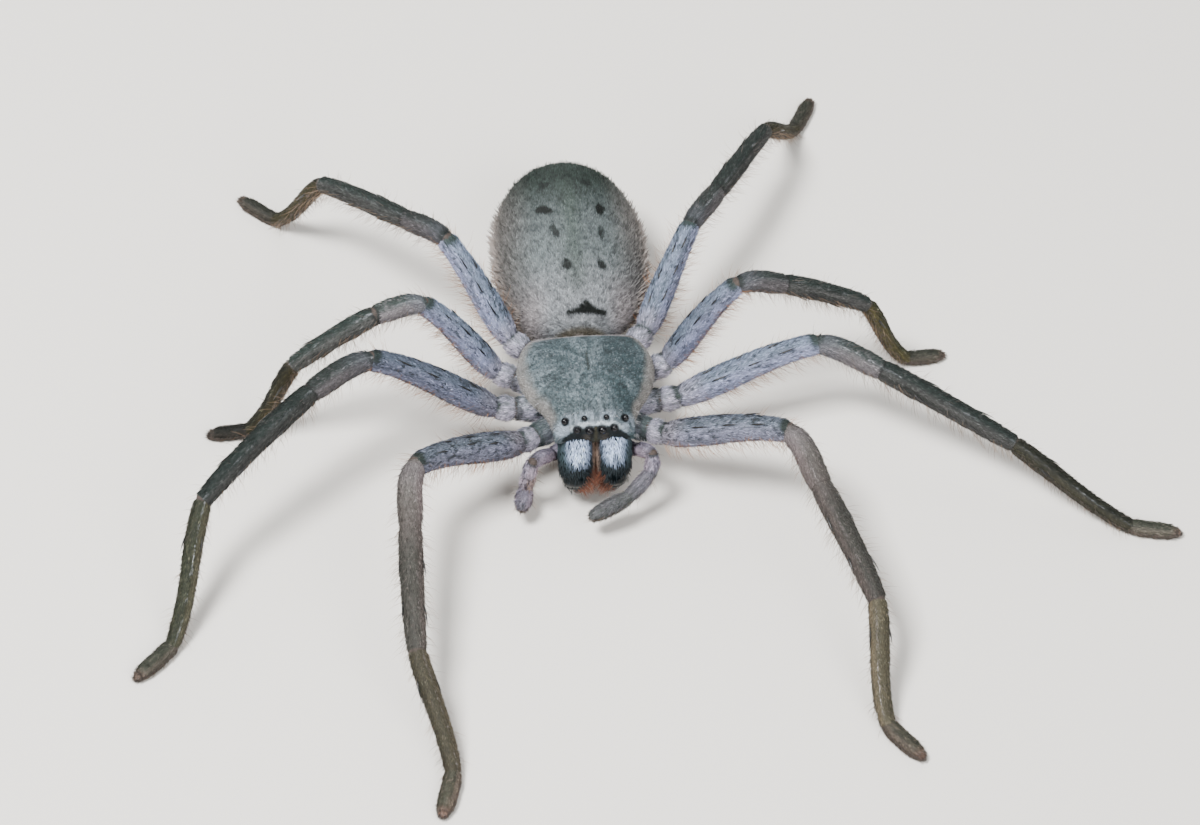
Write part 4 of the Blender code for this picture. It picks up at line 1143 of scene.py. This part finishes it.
class Surface:
    """Skin that hairs grow from, as a grid of points that runs along the hair's lie."""

    def __init__(self, grid, outward, closed=True):
        if closed:
            grid = np.concatenate([grid, grid[:, :1]], axis=1)
        self.grid = grid
        self.outward = outward
        ahead = grid[1:] - grid[:-1]
        beside = grid[:-1, 1:] - grid[:-1, :-1]
        halves = [np.linalg.norm(np.cross(edge, beside), axis=-1) for edge in (ahead[:, :-1], ahead[:, 1:])]
        self.areas = (halves[0] + halves[1]) / 2.0
        self.area = self.areas.sum()

    def scatter(self, count, rng, weights=1.0):
        """Roots spread evenly over the skin, with normals, lies, and places on the unwrapped skin."""
        totals = np.cumsum((self.areas * weights).ravel())
        cell = np.searchsorted(totals, rng.random(count) * totals[-1])
        rows, columns = self.areas.shape
        row, column = np.divmod(cell, columns)
        u, v = rng.random((2, count))
        a, b = self.grid[row, column], self.grid[row, column + 1]
        c, d = self.grid[row + 1, column], self.grid[row + 1, column + 1]
        near = a + (b - a) * u[:, None]
        far = c + (d - c) * u[:, None]
        roots = near + (far - near) * v[:, None]
        normals = unit(np.cross(far - near, (b - a) + (d - c)))
        inward = (self.outward(roots) * normals).sum(axis=-1) < 0.0
        normals = np.where(inward[:, None], -normals, normals)
        places = 0.03 + 0.94 * np.stack([(column + u) / columns, (row + v) / rows], axis=-1)
        return roots, normals, unit(far - near), places


class Coat:
    """Tufts of one piece of the coat, gathered before its mesh is made."""

    def __init__(self, name, slot, material):
        self.name = name
        self.slot = slot
        self.material = material
        self.points, self.triangles, self.colours, self.places = [], [], [], []
        self.count = 0

    def gather(self, points, pattern, colours, places):
        """Tufts of the same make: points are tuft by corner, and pattern is a tuft's triangles."""
        tufts, corners, _ = points.shape
        first = self.count + np.arange(tufts)[:, None, None] * corners
        self.triangles.append((first + np.asarray(pattern)[None]).reshape(-1, 3))
        points[..., 2] = np.maximum(points[..., 2], LOWEST)
        self.points.append(points.reshape(-1, 3))
        self.colours.append(colours.reshape(-1, 3))
        spread = np.linspace(-PATCH, PATCH, corners)
        patch = np.repeat(places[:, None, :], corners, axis=1)
        patch[..., 0] += spread
        patch[..., 1] += spread[::-1] * np.where(np.arange(corners) % 2, 1.0, 0.3)
        self.places.append(patch.reshape(-1, 2))
        self.count += tufts * corners

    def add_fur(self, roots, normals, lies, lengths, widths, lifts, colours, places,
                tip_light=1.25, root_light=0.6):
        """Short thin blades, lifted from the skin by an angle and bent back along it."""
        sideways = unit(np.cross(lies, normals))
        rise = np.tan(np.radians(lifts))
        base = roots - normals * SINK
        middle_way = lies * (lengths * TUFT_MIDDLE)[:, None]
        middle = roots + middle_way + normals * (lengths * TUFT_MIDDLE * rise * 1.15)[:, None]
        tip = roots + lies * lengths[:, None] + normals * (lengths * rise * 0.8)[:, None]
        half = sideways * (widths / 2.0)[:, None]
        points = np.stack([base, middle - half, middle + half, tip], axis=1)
        # Each blade is darker at the root, as painted shade among the other hairs, and lighter at the tip,
        # for pale tips
        shade = np.array([root_light, 1.0, 1.0, tip_light])
        pattern = ((0, 2, 1), (0, 3, 2), (0, 1, 3), (1, 2, 3))
        self.gather(points, pattern, colours[:, None, :] * shade[None, :, None], places)

    def add_setae(self, roots, ways, bends, lengths, widths, colours, places, tip_light=1.5):
        """Long stiff hairs of three sides, bent once in the middle."""
        sideways = unit(np.cross(ways, bends) + 1e-6)
        upward = unit(np.cross(sideways, ways))
        middle = roots + ways * (lengths * 0.5)[:, None]
        tip = middle + unit(ways + bends * 0.35) * (lengths * 0.5)[:, None]
        base = roots - ways * SINK
        corners = []
        for centre, share in ((base, 1.0), (middle, 0.72)):
            for turn in (90.0, 210.0, 330.0):
                angle = math.radians(turn)
                offset = sideways * math.cos(angle) + upward * math.sin(angle)
                corners.append(centre + offset * (widths * share / 2.0)[:, None])
        points = np.stack([*corners, tip], axis=1)
        pattern = [(2, 1, 0)]
        for index in range(3):
            after = (index + 1) % 3
            pattern += [(index, after, after + 3), (index, after + 3, index + 3), (index + 3, after + 3, 6)]
        # Each hair is darker at the base, as painted shade among the fur, and paler towards the tip
        shade = np.array([0.8] * 3 + [1.0] * 3 + [tip_light])
        self.gather(points, pattern, colours[:, None, :] * shade[None, :, None], places)

    def build(self):
        triangles = np.concatenate(self.triangles)
        obj = add_mesh(self.name, np.concatenate(self.points), triangles, [self.material], False)
        set_colours(obj.data, np.concatenate(self.colours))
        layer = obj.data.uv_layers.new(name="OFBake")
        places = np.concatenate(self.places)[triangles.ravel()]
        layer.data.foreach_set("uv", places.astype(np.float32).ravel())
        finish_piece(obj)


def pick(keep, *rows):
    return [row[keep] for row in rows]


def swirl(lies, normals, rng, spread):
    """Lie directions turned by random angles about the normals."""
    turn = np.radians(rng.normal(0.0, spread, len(lies)))[:, None]
    return unit(lies * np.cos(turn) + np.cross(normals, lies) * np.sin(turn))


def uneven(rng, count, share):
    return 1.0 + rng.uniform(-share, share, count)


def tinted(colours, rng, spread):
    """Colours that are lighter and darker from hair to hair."""
    return colours * rng.lognormal(0.0, spread, len(colours))[:, None]


def hair_count(wanted):
    return max(1, int(wanted * (1.0)))


# Fur of each kind of limb: hairs per square millimetre, length, width, lift
LIMB_FUR = {
    "coxa": (84.0, 0.4, 0.055, 20.0),
    "trochanter": (84.0, 0.42, 0.055, 20.0),
    "femur": (72.0, 0.42, 0.058, 16.0),
    "patella": (76.0, 0.38, 0.055, 17.0),
    "tibia": (76.0, 0.38, 0.055, 17.0),
    "metatarsus": (78.0, 0.35, 0.052, 18.0),
    "tarsus": (100.0, 0.3, 0.048, 22.0),
    "palp_femur": (95.0, 0.34, 0.05, 20.0),
    "palp_patella": (95.0, 0.32, 0.05, 20.0),
    "palp_tibia": (95.0, 0.34, 0.05, 22.0),
    "palp_tarsus": (115.0, 0.36, 0.05, 26.0),
}
# Long hairs of each kind of limb: how many, length, usual angle from the skin
LIMB_SETAE = {
    "coxa": (50, 0.75, 50.0),
    "trochanter": (30, 0.7, 50.0),
    "femur": (430, 1.7, 58.0),
    "patella": (110, 1.5, 55.0),
    "tibia": (300, 1.6, 55.0),
    "metatarsus": (190, 1.2, 50.0),
    "tarsus": (30, 0.7, 45.0),
    "palp_femur": (14, 0.9, 45.0),
    "palp_patella": (14, 0.9, 45.0),
    "palp_tibia": (20, 1.1, 45.0),
    "palp_tarsus": (40, 1.0, 45.0),
}
# Tones of the long hairs beneath each kind of limb, and above all of them
USUAL_UNDER_TONE = (0.22, 0.15, 0.1)
UNDER_TONES = {"coxa": (0.5, 0.48, 0.5), "trochanter": (0.5, 0.48, 0.5), "femur": (0.28, 0.145, 0.078)}
UPPER_TONE = (0.1, 0.085, 0.075)
# Brush beneath the feet: hairs per square millimetre, and length
SCOPULA = {"metatarsus": (45.0, 0.18), "tarsus": (160.0, 0.204), "palp_tarsus": (60.0, 0.216)}
CLAW_TUFT_HAIRS = 380
CLAW_TUFT_REACH = 0.42


def outside_others(roots, limb, others):
    keep = np.ones(len(roots), bool)
    for other in others:
        if other is not limb:
            keep &= other.find(roots)[0] > -0.03
    return keep


def limb_places(limb, points, strip):
    """Share along the limb, angle round it, and place on the unwrapped skin."""
    along, offset = limb.place(points)
    share = along / limb.length
    angle = np.arctan2(offset @ limb.up, offset @ limb.front)
    around = strip[0] + (strip[1] - strip[0]) * (0.03 + 0.94 * (angle / (2.0 * math.pi) + 0.5))
    return share, angle, np.stack([around, 0.05 + 0.9 * np.clip(share, -0.04, 1.04)], axis=-1)


def dress_limb(coat, limb, others, strip, seed):
    """Lying fur of a limb, then its long hairs and the brush beneath it."""
    rng = np.random.default_rng(seed)
    surface = Surface(limb.grid(*FUR_RINGS), lambda points: limb.place(points)[1])
    dense, length, width, lift = LIMB_FUR[limb.kind]
    roots, normals, lies, _ = surface.scatter(hair_count(dense * surface.area), rng)
    roots, normals, lies = pick(outside_others(roots, limb, others), roots, normals, lies)
    share, angle, places = limb_places(limb, roots, strip)
    count = len(roots)
    beyond = 0.1 if limb.kind in LEG_SEGMENTS[:-1] else limb.cap
    left = np.maximum((1.0 - share) * limb.length + beyond, 0.12)
    lengths = np.minimum(length * uneven(rng, count, 0.35), left)
    share = share + 0.45 * lengths / limb.length
    colours = tinted(limb_colours(limb, share, angle, roots, seed % 1000), rng, 0.28)
    pale = rng.random(count) < 0.07
    colours[pale] = colours[pale] * 1.5 + 0.015
    lies = swirl(lies, normals, rng, 13.0)
    coat.add_fur(roots, normals, lies, lengths, width * uneven(rng, count, 0.25),
                 lift * uneven(rng, count, 0.6), colours, places)
    add_limb_setae(coat, limb, surface, others, strip, rng)
    if limb.kind in SCOPULA:
        add_scopula(coat, limb, surface, others, strip, rng)


def add_limb_setae(coat, limb, surface, others, strip, rng):
    """Long fine hairs, most of them beneath and beside the limb."""
    number, length, lift = LIMB_SETAE[limb.kind]
    roots, normals, lies, _ = surface.scatter(number * 3, rng)
    _, angle, places = limb_places(limb, roots, strip)
    likely = 0.06 + 0.94 * ramp(-np.sin(angle), -0.3, 0.4)
    keep = outside_others(roots, limb, others) & (rng.random(len(roots)) < likely)
    keep = np.flatnonzero(keep)[:number]
    roots, normals, lies, angle, places = pick(keep, roots, normals, lies, angle, places)
    count = len(roots)
    lift = np.radians(rng.uniform(lift - 25.0, lift + 28.0, count))[:, None]
    lies = swirl(lies, normals, rng, 18.0)
    ways = lies * np.cos(lift) + normals * np.sin(lift)
    above = ramp(np.sin(angle), 0.2, 0.7)
    beneath = UNDER_TONES.get(limb.kind, USUAL_UNDER_TONE)
    colours = tinted(blend(beneath, UPPER_TONE, above), rng, 0.25)
    coat.add_setae(roots, ways, lies, length * (1.0 - 0.35 * above) * uneven(rng, count, 0.35),
                   0.034 * uneven(rng, count, 0.2), colours, places)


def add_scopula(coat, limb, surface, others, strip, rng):
    """Dense brush of dark hairs beneath and beside the foot."""
    dense, length = SCOPULA[limb.kind]
    roots, normals, lies, _ = surface.scatter(hair_count(dense * surface.area), rng)
    share, angle, places = limb_places(limb, roots, strip)
    keep = outside_others(roots, limb, others) & (np.sin(angle) < 0.25)
    roots, normals, lies, places, share = pick(keep, roots, normals, lies, places, share)
    count = len(roots)
    colours = blend((0.05, 0.045, 0.04), (0.11, 0.085, 0.07), rng.random(count))
    lies = swirl(lies, normals, rng, 20.0)
    blunt = 1.0 + 0.25 * ramp(share, 0.6, 1.0)
    coat.add_fur(roots, normals, lies, length * blunt * uneven(rng, count, 0.25),
                 0.05 * uneven(rng, count, 0.25), 46.0 * uneven(rng, count, 0.3), colours, places)


def add_claw_tuft(coat, limb, strip, rng):
    """Pad of hairs round the claws, that makes the foot's end blunt."""
    count = hair_count(CLAW_TUFT_HAIRS)
    turn = rng.uniform(0.0, 2.0 * math.pi, count)
    reach = np.sqrt(rng.random(count)) * CLAW_TUFT_REACH
    outer = np.outer(np.cos(turn), limb.front) + np.outer(np.sin(turn), limb.up)
    roots = limb.end - limb.way * 0.28 + outer * reach[:, None]
    splay = (reach / CLAW_TUFT_REACH * 0.35)[:, None]
    ways = unit(limb.way + outer * splay + rng.normal(0.0, 0.1, (count, 3)))
    colours = blend((0.04, 0.037, 0.033), (0.12, 0.09, 0.07), rng.random(count) ** 2)
    _, _, places = limb_places(limb, roots, strip)
    coat.add_setae(roots, ways, outer, 0.5 * (1.1 - 0.8 * reach) * uneven(rng, count, 0.2),
                   0.05 * uneven(rng, count, 0.25), colours, places)


def build_limb_coat(coat, limbs, balls, leg, side, seed):
    """Coat of a leg or palp, with a strip of the unwrapped skin for each of its limbs."""
    parts, joints = ([piece for piece in pieces if (piece.leg, piece.side) == (leg, side)]
                     for pieces in (limbs, balls))
    seed += 500 if side == "left" else 0
    for index, limb in enumerate(parts):
        strip = (index / len(parts), (index + 1) / len(parts))
        dress_limb(coat, limb, parts + joints, strip, seed + 97 * index)
    if leg != "palp":
        add_claw_tuft(coat, parts[-1], strip, np.random.default_rng(leg))
    coat.build()


def build_limb_coats(limbs, balls, material):
    for leg in LEG_LENGTHS:
        for side in SIDES:
            coat = Coat("leg_fur_%d_%s" % (leg, side), "shin", material)
            build_limb_coat(coat, limbs, balls, leg, side, 1000 * leg)
    for side in SIDES:
        build_limb_coat(Coat("palp_fur_" + side, "palp", material), limbs, balls, "palp", side, 7000)


# Abdomen's coats: how many hairs lie flat and how many stand out, and width of the lying ones
ABDOMEN_COATS = {"abdomen_fur_above": (46000, 3500, 0.046), "abdomen_fur_beneath": (24000, 7000, 0.07)}


def build_abdomen_coats(material):
    """Velvet of the abdomen, above and beneath, with longer hairs standing out round its sides."""
    rng = np.random.default_rng(SEED)
    surface = Surface(abdomen_grid(), lambda points: points - ABDOMEN_CENTRE)
    middle = (surface.grid[:-1, :-1, 2] + surface.grid[1:, 1:, 2]) / 2.0
    for name, (fur_count, halo_count, width) in ABDOMEN_COATS.items():
        coat = Coat(name, "abdomen", material)
        chosen = (middle < ABDOMEN_HEIGHT) == name.endswith("beneath")
        roots, normals, lies, places = surface.scatter(hair_count(fur_count), rng, chosen)
        count = len(roots)
        lies = swirl(lies, normals, rng, 16.0)
        colours = tinted(abdomen_colours(roots + lies * 0.12), rng, 0.25)
        coat.add_fur(roots, normals, lies, 0.28 * uneven(rng, count, 0.35), width * uneven(rng, count, 0.3),
                     28.0 * uneven(rng, count, 0.5), colours, places, 1.12, 0.7)
        band = chosen * (middle < ABDOMEN_HEIGHT + 3.2) * (surface.grid[1:, 1:, 1] > ABDOMEN_FRONT + 3.0)
        roots, normals, lies, places = surface.scatter(hair_count(halo_count), rng, band)
        count = len(roots)
        above = np.maximum(ramp(normals[:, 2], 0.15, 0.6), ramp(roots[:, 1], 19.0, 24.0))
        halo = blend((0.31, 0.262, 0.235), (0.25, 0.228, 0.212), rng.random(count))
        colours = blend(halo, abdomen_colours(roots), above)
        lies = swirl(lies, normals, rng, 20.0)
        coat.add_fur(roots, normals, lies, (0.66 - 0.3 * above) * uneven(rng, count, 0.4),
                     0.028 * uneven(rng, count, 0.2), rng.uniform(34.0, 58.0, count),
                     colours, places, 1.15, 0.8)
        coat.build()


CHELICERA_FUR = 5200
CHELICERA_FRINGE = 1400
CHELICERA_PATCH_END = 0.5


def chelicera_colours(points, sign):
    """White hair on the upper front of a chelicera, black round it and below."""
    x, y, z = points.T
    fine = noise(points, 0.18, 71)
    side = 1.0 - ramp(np.abs(x - 1.66 * sign) + 0.5 * fine, 0.7, 1.6)
    white = side * ramp(z + fine, 5.8, 7.1)
    dark = blend((0.008, 0.013, 0.016), (0.04, 0.062, 0.07), ramp(np.abs(x), 2.1, 3.0) * ramp(z, 4.4, 6.4))
    colour = blend(dark, (0.5, 0.62, 0.87), white * (0.55 + 0.45 * ramp(fine, 0.3, 0.65)))
    inner = ramp(-np.abs(x), -0.5, -0.2)
    return blend(colour, blend((0.13, 0.065, 0.048), (0.3, 0.21, 0.165), ramp(z, 3.6, 5.2)), inner * 0.85)


def build_chelicera_coat(side, material):
    """Lying hair of a chelicera, bare towards the fang, and a fringe on its inner side."""
    sign = SIDES[side]
    rng = np.random.default_rng(SEED + 5 + int(sign))
    rings, end, way = chelicera_rings(sign)
    start = rings[0].mean(axis=0)
    axis = end - start

    def share_down(points):
        return (points - start) @ way / np.linalg.norm(axis)

    def outward(points):
        return points - start - np.outer(np.clip(share_down(points), 0.0, 1.0), axis)

    surface = Surface(rings, outward)
    coat = Coat("chelicera_fur_" + side, "chelicera", material)
    roots, normals, lies, places = surface.scatter(hair_count(CHELICERA_FUR), rng)
    bare = ramp(share_down(roots), CHELICERA_PATCH_END, 0.78)
    keep = rng.random(len(roots)) > bare * 0.95
    roots, normals, lies, places = pick(keep, roots, normals, lies, places)
    count = len(roots)
    lies = swirl(lies, normals, rng, 13.0)
    colours = tinted(chelicera_colours(roots, sign), rng, 0.25)
    coat.add_fur(roots, normals, lies, 0.5 * uneven(rng, count, 0.35), 0.06 * uneven(rng, count, 0.25),
                 17.0 * uneven(rng, count, 0.6), colours, places)
    roots, _, lies, places = surface.scatter(CHELICERA_FRINGE, rng)
    share = share_down(roots)
    wedge = 0.35 + 1.3 * np.clip((share - 0.55) / 0.45, 0.0, 1.0)
    inner = ramp(-roots[:, 0] * sign, -wedge - 0.2, -wedge + 0.2) * ramp(share, 0.45, 0.7)
    roots, lies, places = pick(rng.random(len(roots)) < inner, roots, lies, places)
    count = len(roots)
    inward = np.array([-0.9 * sign, -0.35, -0.35])
    ways = unit(lies * 0.5 + inward + rng.normal(0.0, 0.2, (count, 3)))
    colours = blend((0.07, 0.032, 0.022), (0.28, 0.105, 0.06), rng.random(count) ** 1.3)
    coat.add_setae(roots, ways, np.tile(way, (count, 1)), 1.15 * uneven(rng, count, 0.35),
                   0.05 * uneven(rng, count, 0.2), colours, places)
    coat.build()


CARAPACE_FUR = 36000
CARAPACE_SETAE = 500
CARAPACE_FUR_GRID = (70, 90)


def clear_of_eyes(points, gap):
    keep = np.ones(len(points), bool)
    for _, centre, radius in eyes():
        keep &= np.linalg.norm(points - centre, axis=1) > radius + gap
    return keep


def build_carapace_coat(material):
    """Short hairs of the carapace, lying back and out over its rim, and stiff ones on its head and rim."""
    rng = np.random.default_rng(SEED + 1)
    surface = Surface(carapace_grid(*CARAPACE_FUR_GRID), lambda points: np.array([0.0, 0.0, 1.0]), False)
    roots, normals, _, places = surface.scatter(hair_count(CARAPACE_FUR), rng)
    rim = 1.0 - ramp(roots[:, 2], CARAPACE_RIM + 0.1, CARAPACE_RIM + 1.2)
    back = np.stack([roots[:, 0] * 0.22, np.full(len(roots), 0.8), np.zeros(len(roots))], -1)
    lies = back + unit(roots * np.array([1.0, 1.0, 0.0])) * rim[:, None] * 1.5
    lies = unit(lies - np.einsum("ij,ij->i", lies, normals)[:, None] * normals)
    roots, normals, lies, places, rim = pick(clear_of_eyes(roots, 0.1), roots, normals, lies, places, rim)
    count = len(roots)
    lies = swirl(lies, normals, rng, 16.0)
    colours = tinted(carapace_colours(roots + lies * 0.08), rng, 0.32)
    coat = Coat("carapace_fur", "carapace", material)
    coat.add_fur(roots, normals, lies, (0.2 + 0.14 * rim) * uneven(rng, count, 0.35),
                 0.048 * uneven(rng, count, 0.25), (14.0 + 6.0 * rim) * uneven(rng, count, 0.6),
                 colours, places)
    roots, normals, _, places = surface.scatter(CARAPACE_SETAE, rng)
    low_down = (roots[:, 2] < CARAPACE_RIM + 1.0) & (roots[:, 1] < 3.0)
    keep = (low_down | (roots[:, 1] < -4.6)) & clear_of_eyes(roots, 0.45)
    roots, normals, places = pick(keep, roots, normals, places)
    count = len(roots)
    outer = unit((roots - np.array([0.0, 0.6, 0.0])) * np.array([1.0, 1.0, 0.0]))
    ways = unit(outer * 0.8 + normals * 0.6 + rng.normal(0.0, 0.15, (count, 3)))
    dark = (roots[:, 1] < -5.6) & (np.abs(roots[:, 0]) < 2.9)
    colours = tinted(np.where(dark[:, None], (0.03, 0.03, 0.03), (0.36, 0.36, 0.37)), rng, 0.2)
    coat.add_setae(roots, ways, outer, 0.75 * uneven(rng, count, 0.35), 0.03 * uneven(rng, count, 0.2),
                   colours, places)
    coat.build()


# Spines and claws

# Rows of spines: angle round the limb, and shares of its length
SPINE_ROWS = {
    "femur": ((62, (0.28, 0.52, 0.76)), (112, (0.22, 0.46, 0.68))),
    "tibia": ((15, (0.28, 0.66)), (165, (0.28, 0.66)), (240, (0.2, 0.58)), (300, (0.2, 0.58))),
    "metatarsus": ((20, (0.25,)), (160, (0.25,)), (240, (0.16, 0.5)), (300, (0.16, 0.5))),
}
SPINE_LENGTHS = {"femur": 1.7, "tibia": 2.0, "metatarsus": 1.8}
SPINE_SHIFT = 0.02
SPINE_TURN = 8.0
SPINE_LENGTH_RANGE = (0.75, 1.15)
SPINE_RADII = (0.07, 0.09, 0.075, 0.045, 0.012)
SPINE_LEAN = math.radians(14.0)
SPINE_CLEARANCE = 0.35
SPIKE_SIDES = 7
CLAW_ACROSS = 0.14
CLAW_LENGTH = 0.55
CLAW_RADII = (0.08, 0.075, 0.06, 0.035, 0.01)


def spike(root, way, upward, length, radii):
    """Tapered spike that rises from the skin and bends back along it."""
    level = unit(np.cross(way, upward))
    raised = np.cross(level, way)
    rings = []
    for place, radius in zip(np.linspace(0.0, 1.0, len(radii)), radii):
        centre = root + way * (length * place) - upward * (0.12 * length * place ** 2)
        rings.append(ring(centre, radius, radius, level, raised, SPIKE_SIDES))
    return tube_arrays(np.array(rings))


def finish_spikes(name, shells, colour, roughness):
    """One piece of many spikes."""
    starts = np.cumsum([0] + [len(points) for points, _ in shells])
    points = np.concatenate([points for points, _ in shells])
    triangles = np.concatenate([triangles + start for (_, triangles), start in zip(shells, starts)])
    material = shell_material(name, colour, roughness, 0.2, 0.0)
    finish_piece(add_mesh(name + "s", points, triangles, [material]))


def build_spines(limbs):
    draw = random.Random(SEED)
    shells = []
    for limb in limbs:
        for angle, places in SPINE_ROWS.get(limb.kind, ()):
            for place in places:
                spot = (place + draw.uniform(-SPINE_SHIFT, SPINE_SHIFT)) * limb.length
                turn = math.radians(angle + draw.uniform(-SPINE_TURN, SPINE_TURN))
                length = SPINE_LENGTHS[limb.kind] * draw.uniform(*SPINE_LENGTH_RANGE)
                (root,), (normal,) = limb.surface(np.array([spot]), np.array([turn]))
                way = unit(limb.way * math.cos(SPINE_LEAN) + normal * math.sin(SPINE_LEAN))
                if root[2] + way[2] * length >= SPINE_CLEARANCE:
                    shells.append(spike(root - way * 0.2 + normal * 0.03, way, normal, length, SPINE_RADII))
    finish_spikes("spine", shells, (0.012, 0.012, 0.012), 0.3)


def build_claws(limbs):
    """Two small hooked claws at the end of each foot."""
    shells = []
    for limb in limbs:
        if limb.kind == "tarsus":
            for across in (-CLAW_ACROSS, CLAW_ACROSS):
                root = limb.end + limb.front * across + limb.up * 0.12 - limb.way * 0.1
                way = unit(limb.way + limb.front * across * 0.8 + limb.up * 0.15)
                shells.append(spike(root, way, limb.up, CLAW_LENGTH, CLAW_RADII))
    finish_spikes("claw", shells, (0.02, 0.014, 0.012), 0.25)


# Stage, in metres: half the floor's width, and lamps by name, place, size and power

FLOOR_HALF = 4.0
LAMPS = (
    ("key", (-0.2, -0.05, 0.42), 0.14, 5.0),
    ("fill", (0.2, -0.4, 0.35), 0.35, 2.8),
    ("back", (0.1, 0.45, 0.35), 0.4, 1.2),
)


def build_stage():
    floor = bpy.data.meshes.new("floor")
    corners = [(x * FLOOR_HALF, y * FLOOR_HALF, 0) for x, y in ((-1, -1), (1, -1), (1, 1), (-1, 1))]
    floor.from_pydata(corners, [], [(0, 1, 2, 3)])
    material, _, shader = new_material("floor", 0.85, 0.5)
    shader.inputs["Base Color"].default_value = (0.78, 0.75, 0.7, 1.0)
    floor.materials.append(material)
    add_object("floor", floor)
    world = bpy.data.worlds.new("studio")
    world.use_nodes = True
    background = world.node_tree.nodes["Background"]
    background.inputs["Color"].default_value = (0.95, 0.97, 1.0, 1.0)
    background.inputs["Strength"].default_value = 0.34
    bpy.context.scene.world = world
    for name, place, size, power in LAMPS:
        light = bpy.data.lights.new(name, "AREA")
        light.size = size
        light.energy = power
        lamp = add_object(name, light)
        lamp.location = place
        lamp.rotation_euler = (-Vector(place)).to_track_quat("-Z", "Y").to_euler()


def build_camera():
    azimuth = math.radians(CAMERA_AZIMUTH)
    elevation = math.radians(CAMERA_ELEVATION)
    roll = math.radians(CAMERA_ROLL)
    flat = math.cos(elevation)
    back = Vector((math.sin(azimuth) * flat, -math.cos(azimuth) * flat, math.sin(elevation)))
    level = Vector((math.cos(azimuth), math.sin(azimuth), 0.0))
    upward = back.cross(level)
    right = level * math.cos(roll) + upward * math.sin(roll)
    above = upward * math.cos(roll) - level * math.sin(roll)
    place = (CAMERA_TARGET + back * CAMERA_DISTANCE) * MM + Vector(SHIFT)
    data = bpy.data.cameras.new("camera")
    data.lens = CAMERA_LENS
    data.sensor_width = SENSOR_WIDTH
    data.sensor_fit = "HORIZONTAL"
    data.clip_start = 0.01
    camera = add_object("camera", data)
    camera.matrix_world = Matrix.Translation(place) @ Matrix((right, above, back)).transposed().to_4x4()
    bpy.context.scene.camera = camera


build_camera()
build_stage()
limbs, balls = build_skin()
build_carapace()
build_eyes()
build_chelicerae()
fur = fur_material()
build_limb_coats(limbs, balls, fur)
build_abdomen_coats(fur)
build_carapace_coat(fur)
for side in SIDES:
    build_chelicera_coat(side, fur)
build_spines(limbs)
build_claws(limbs)
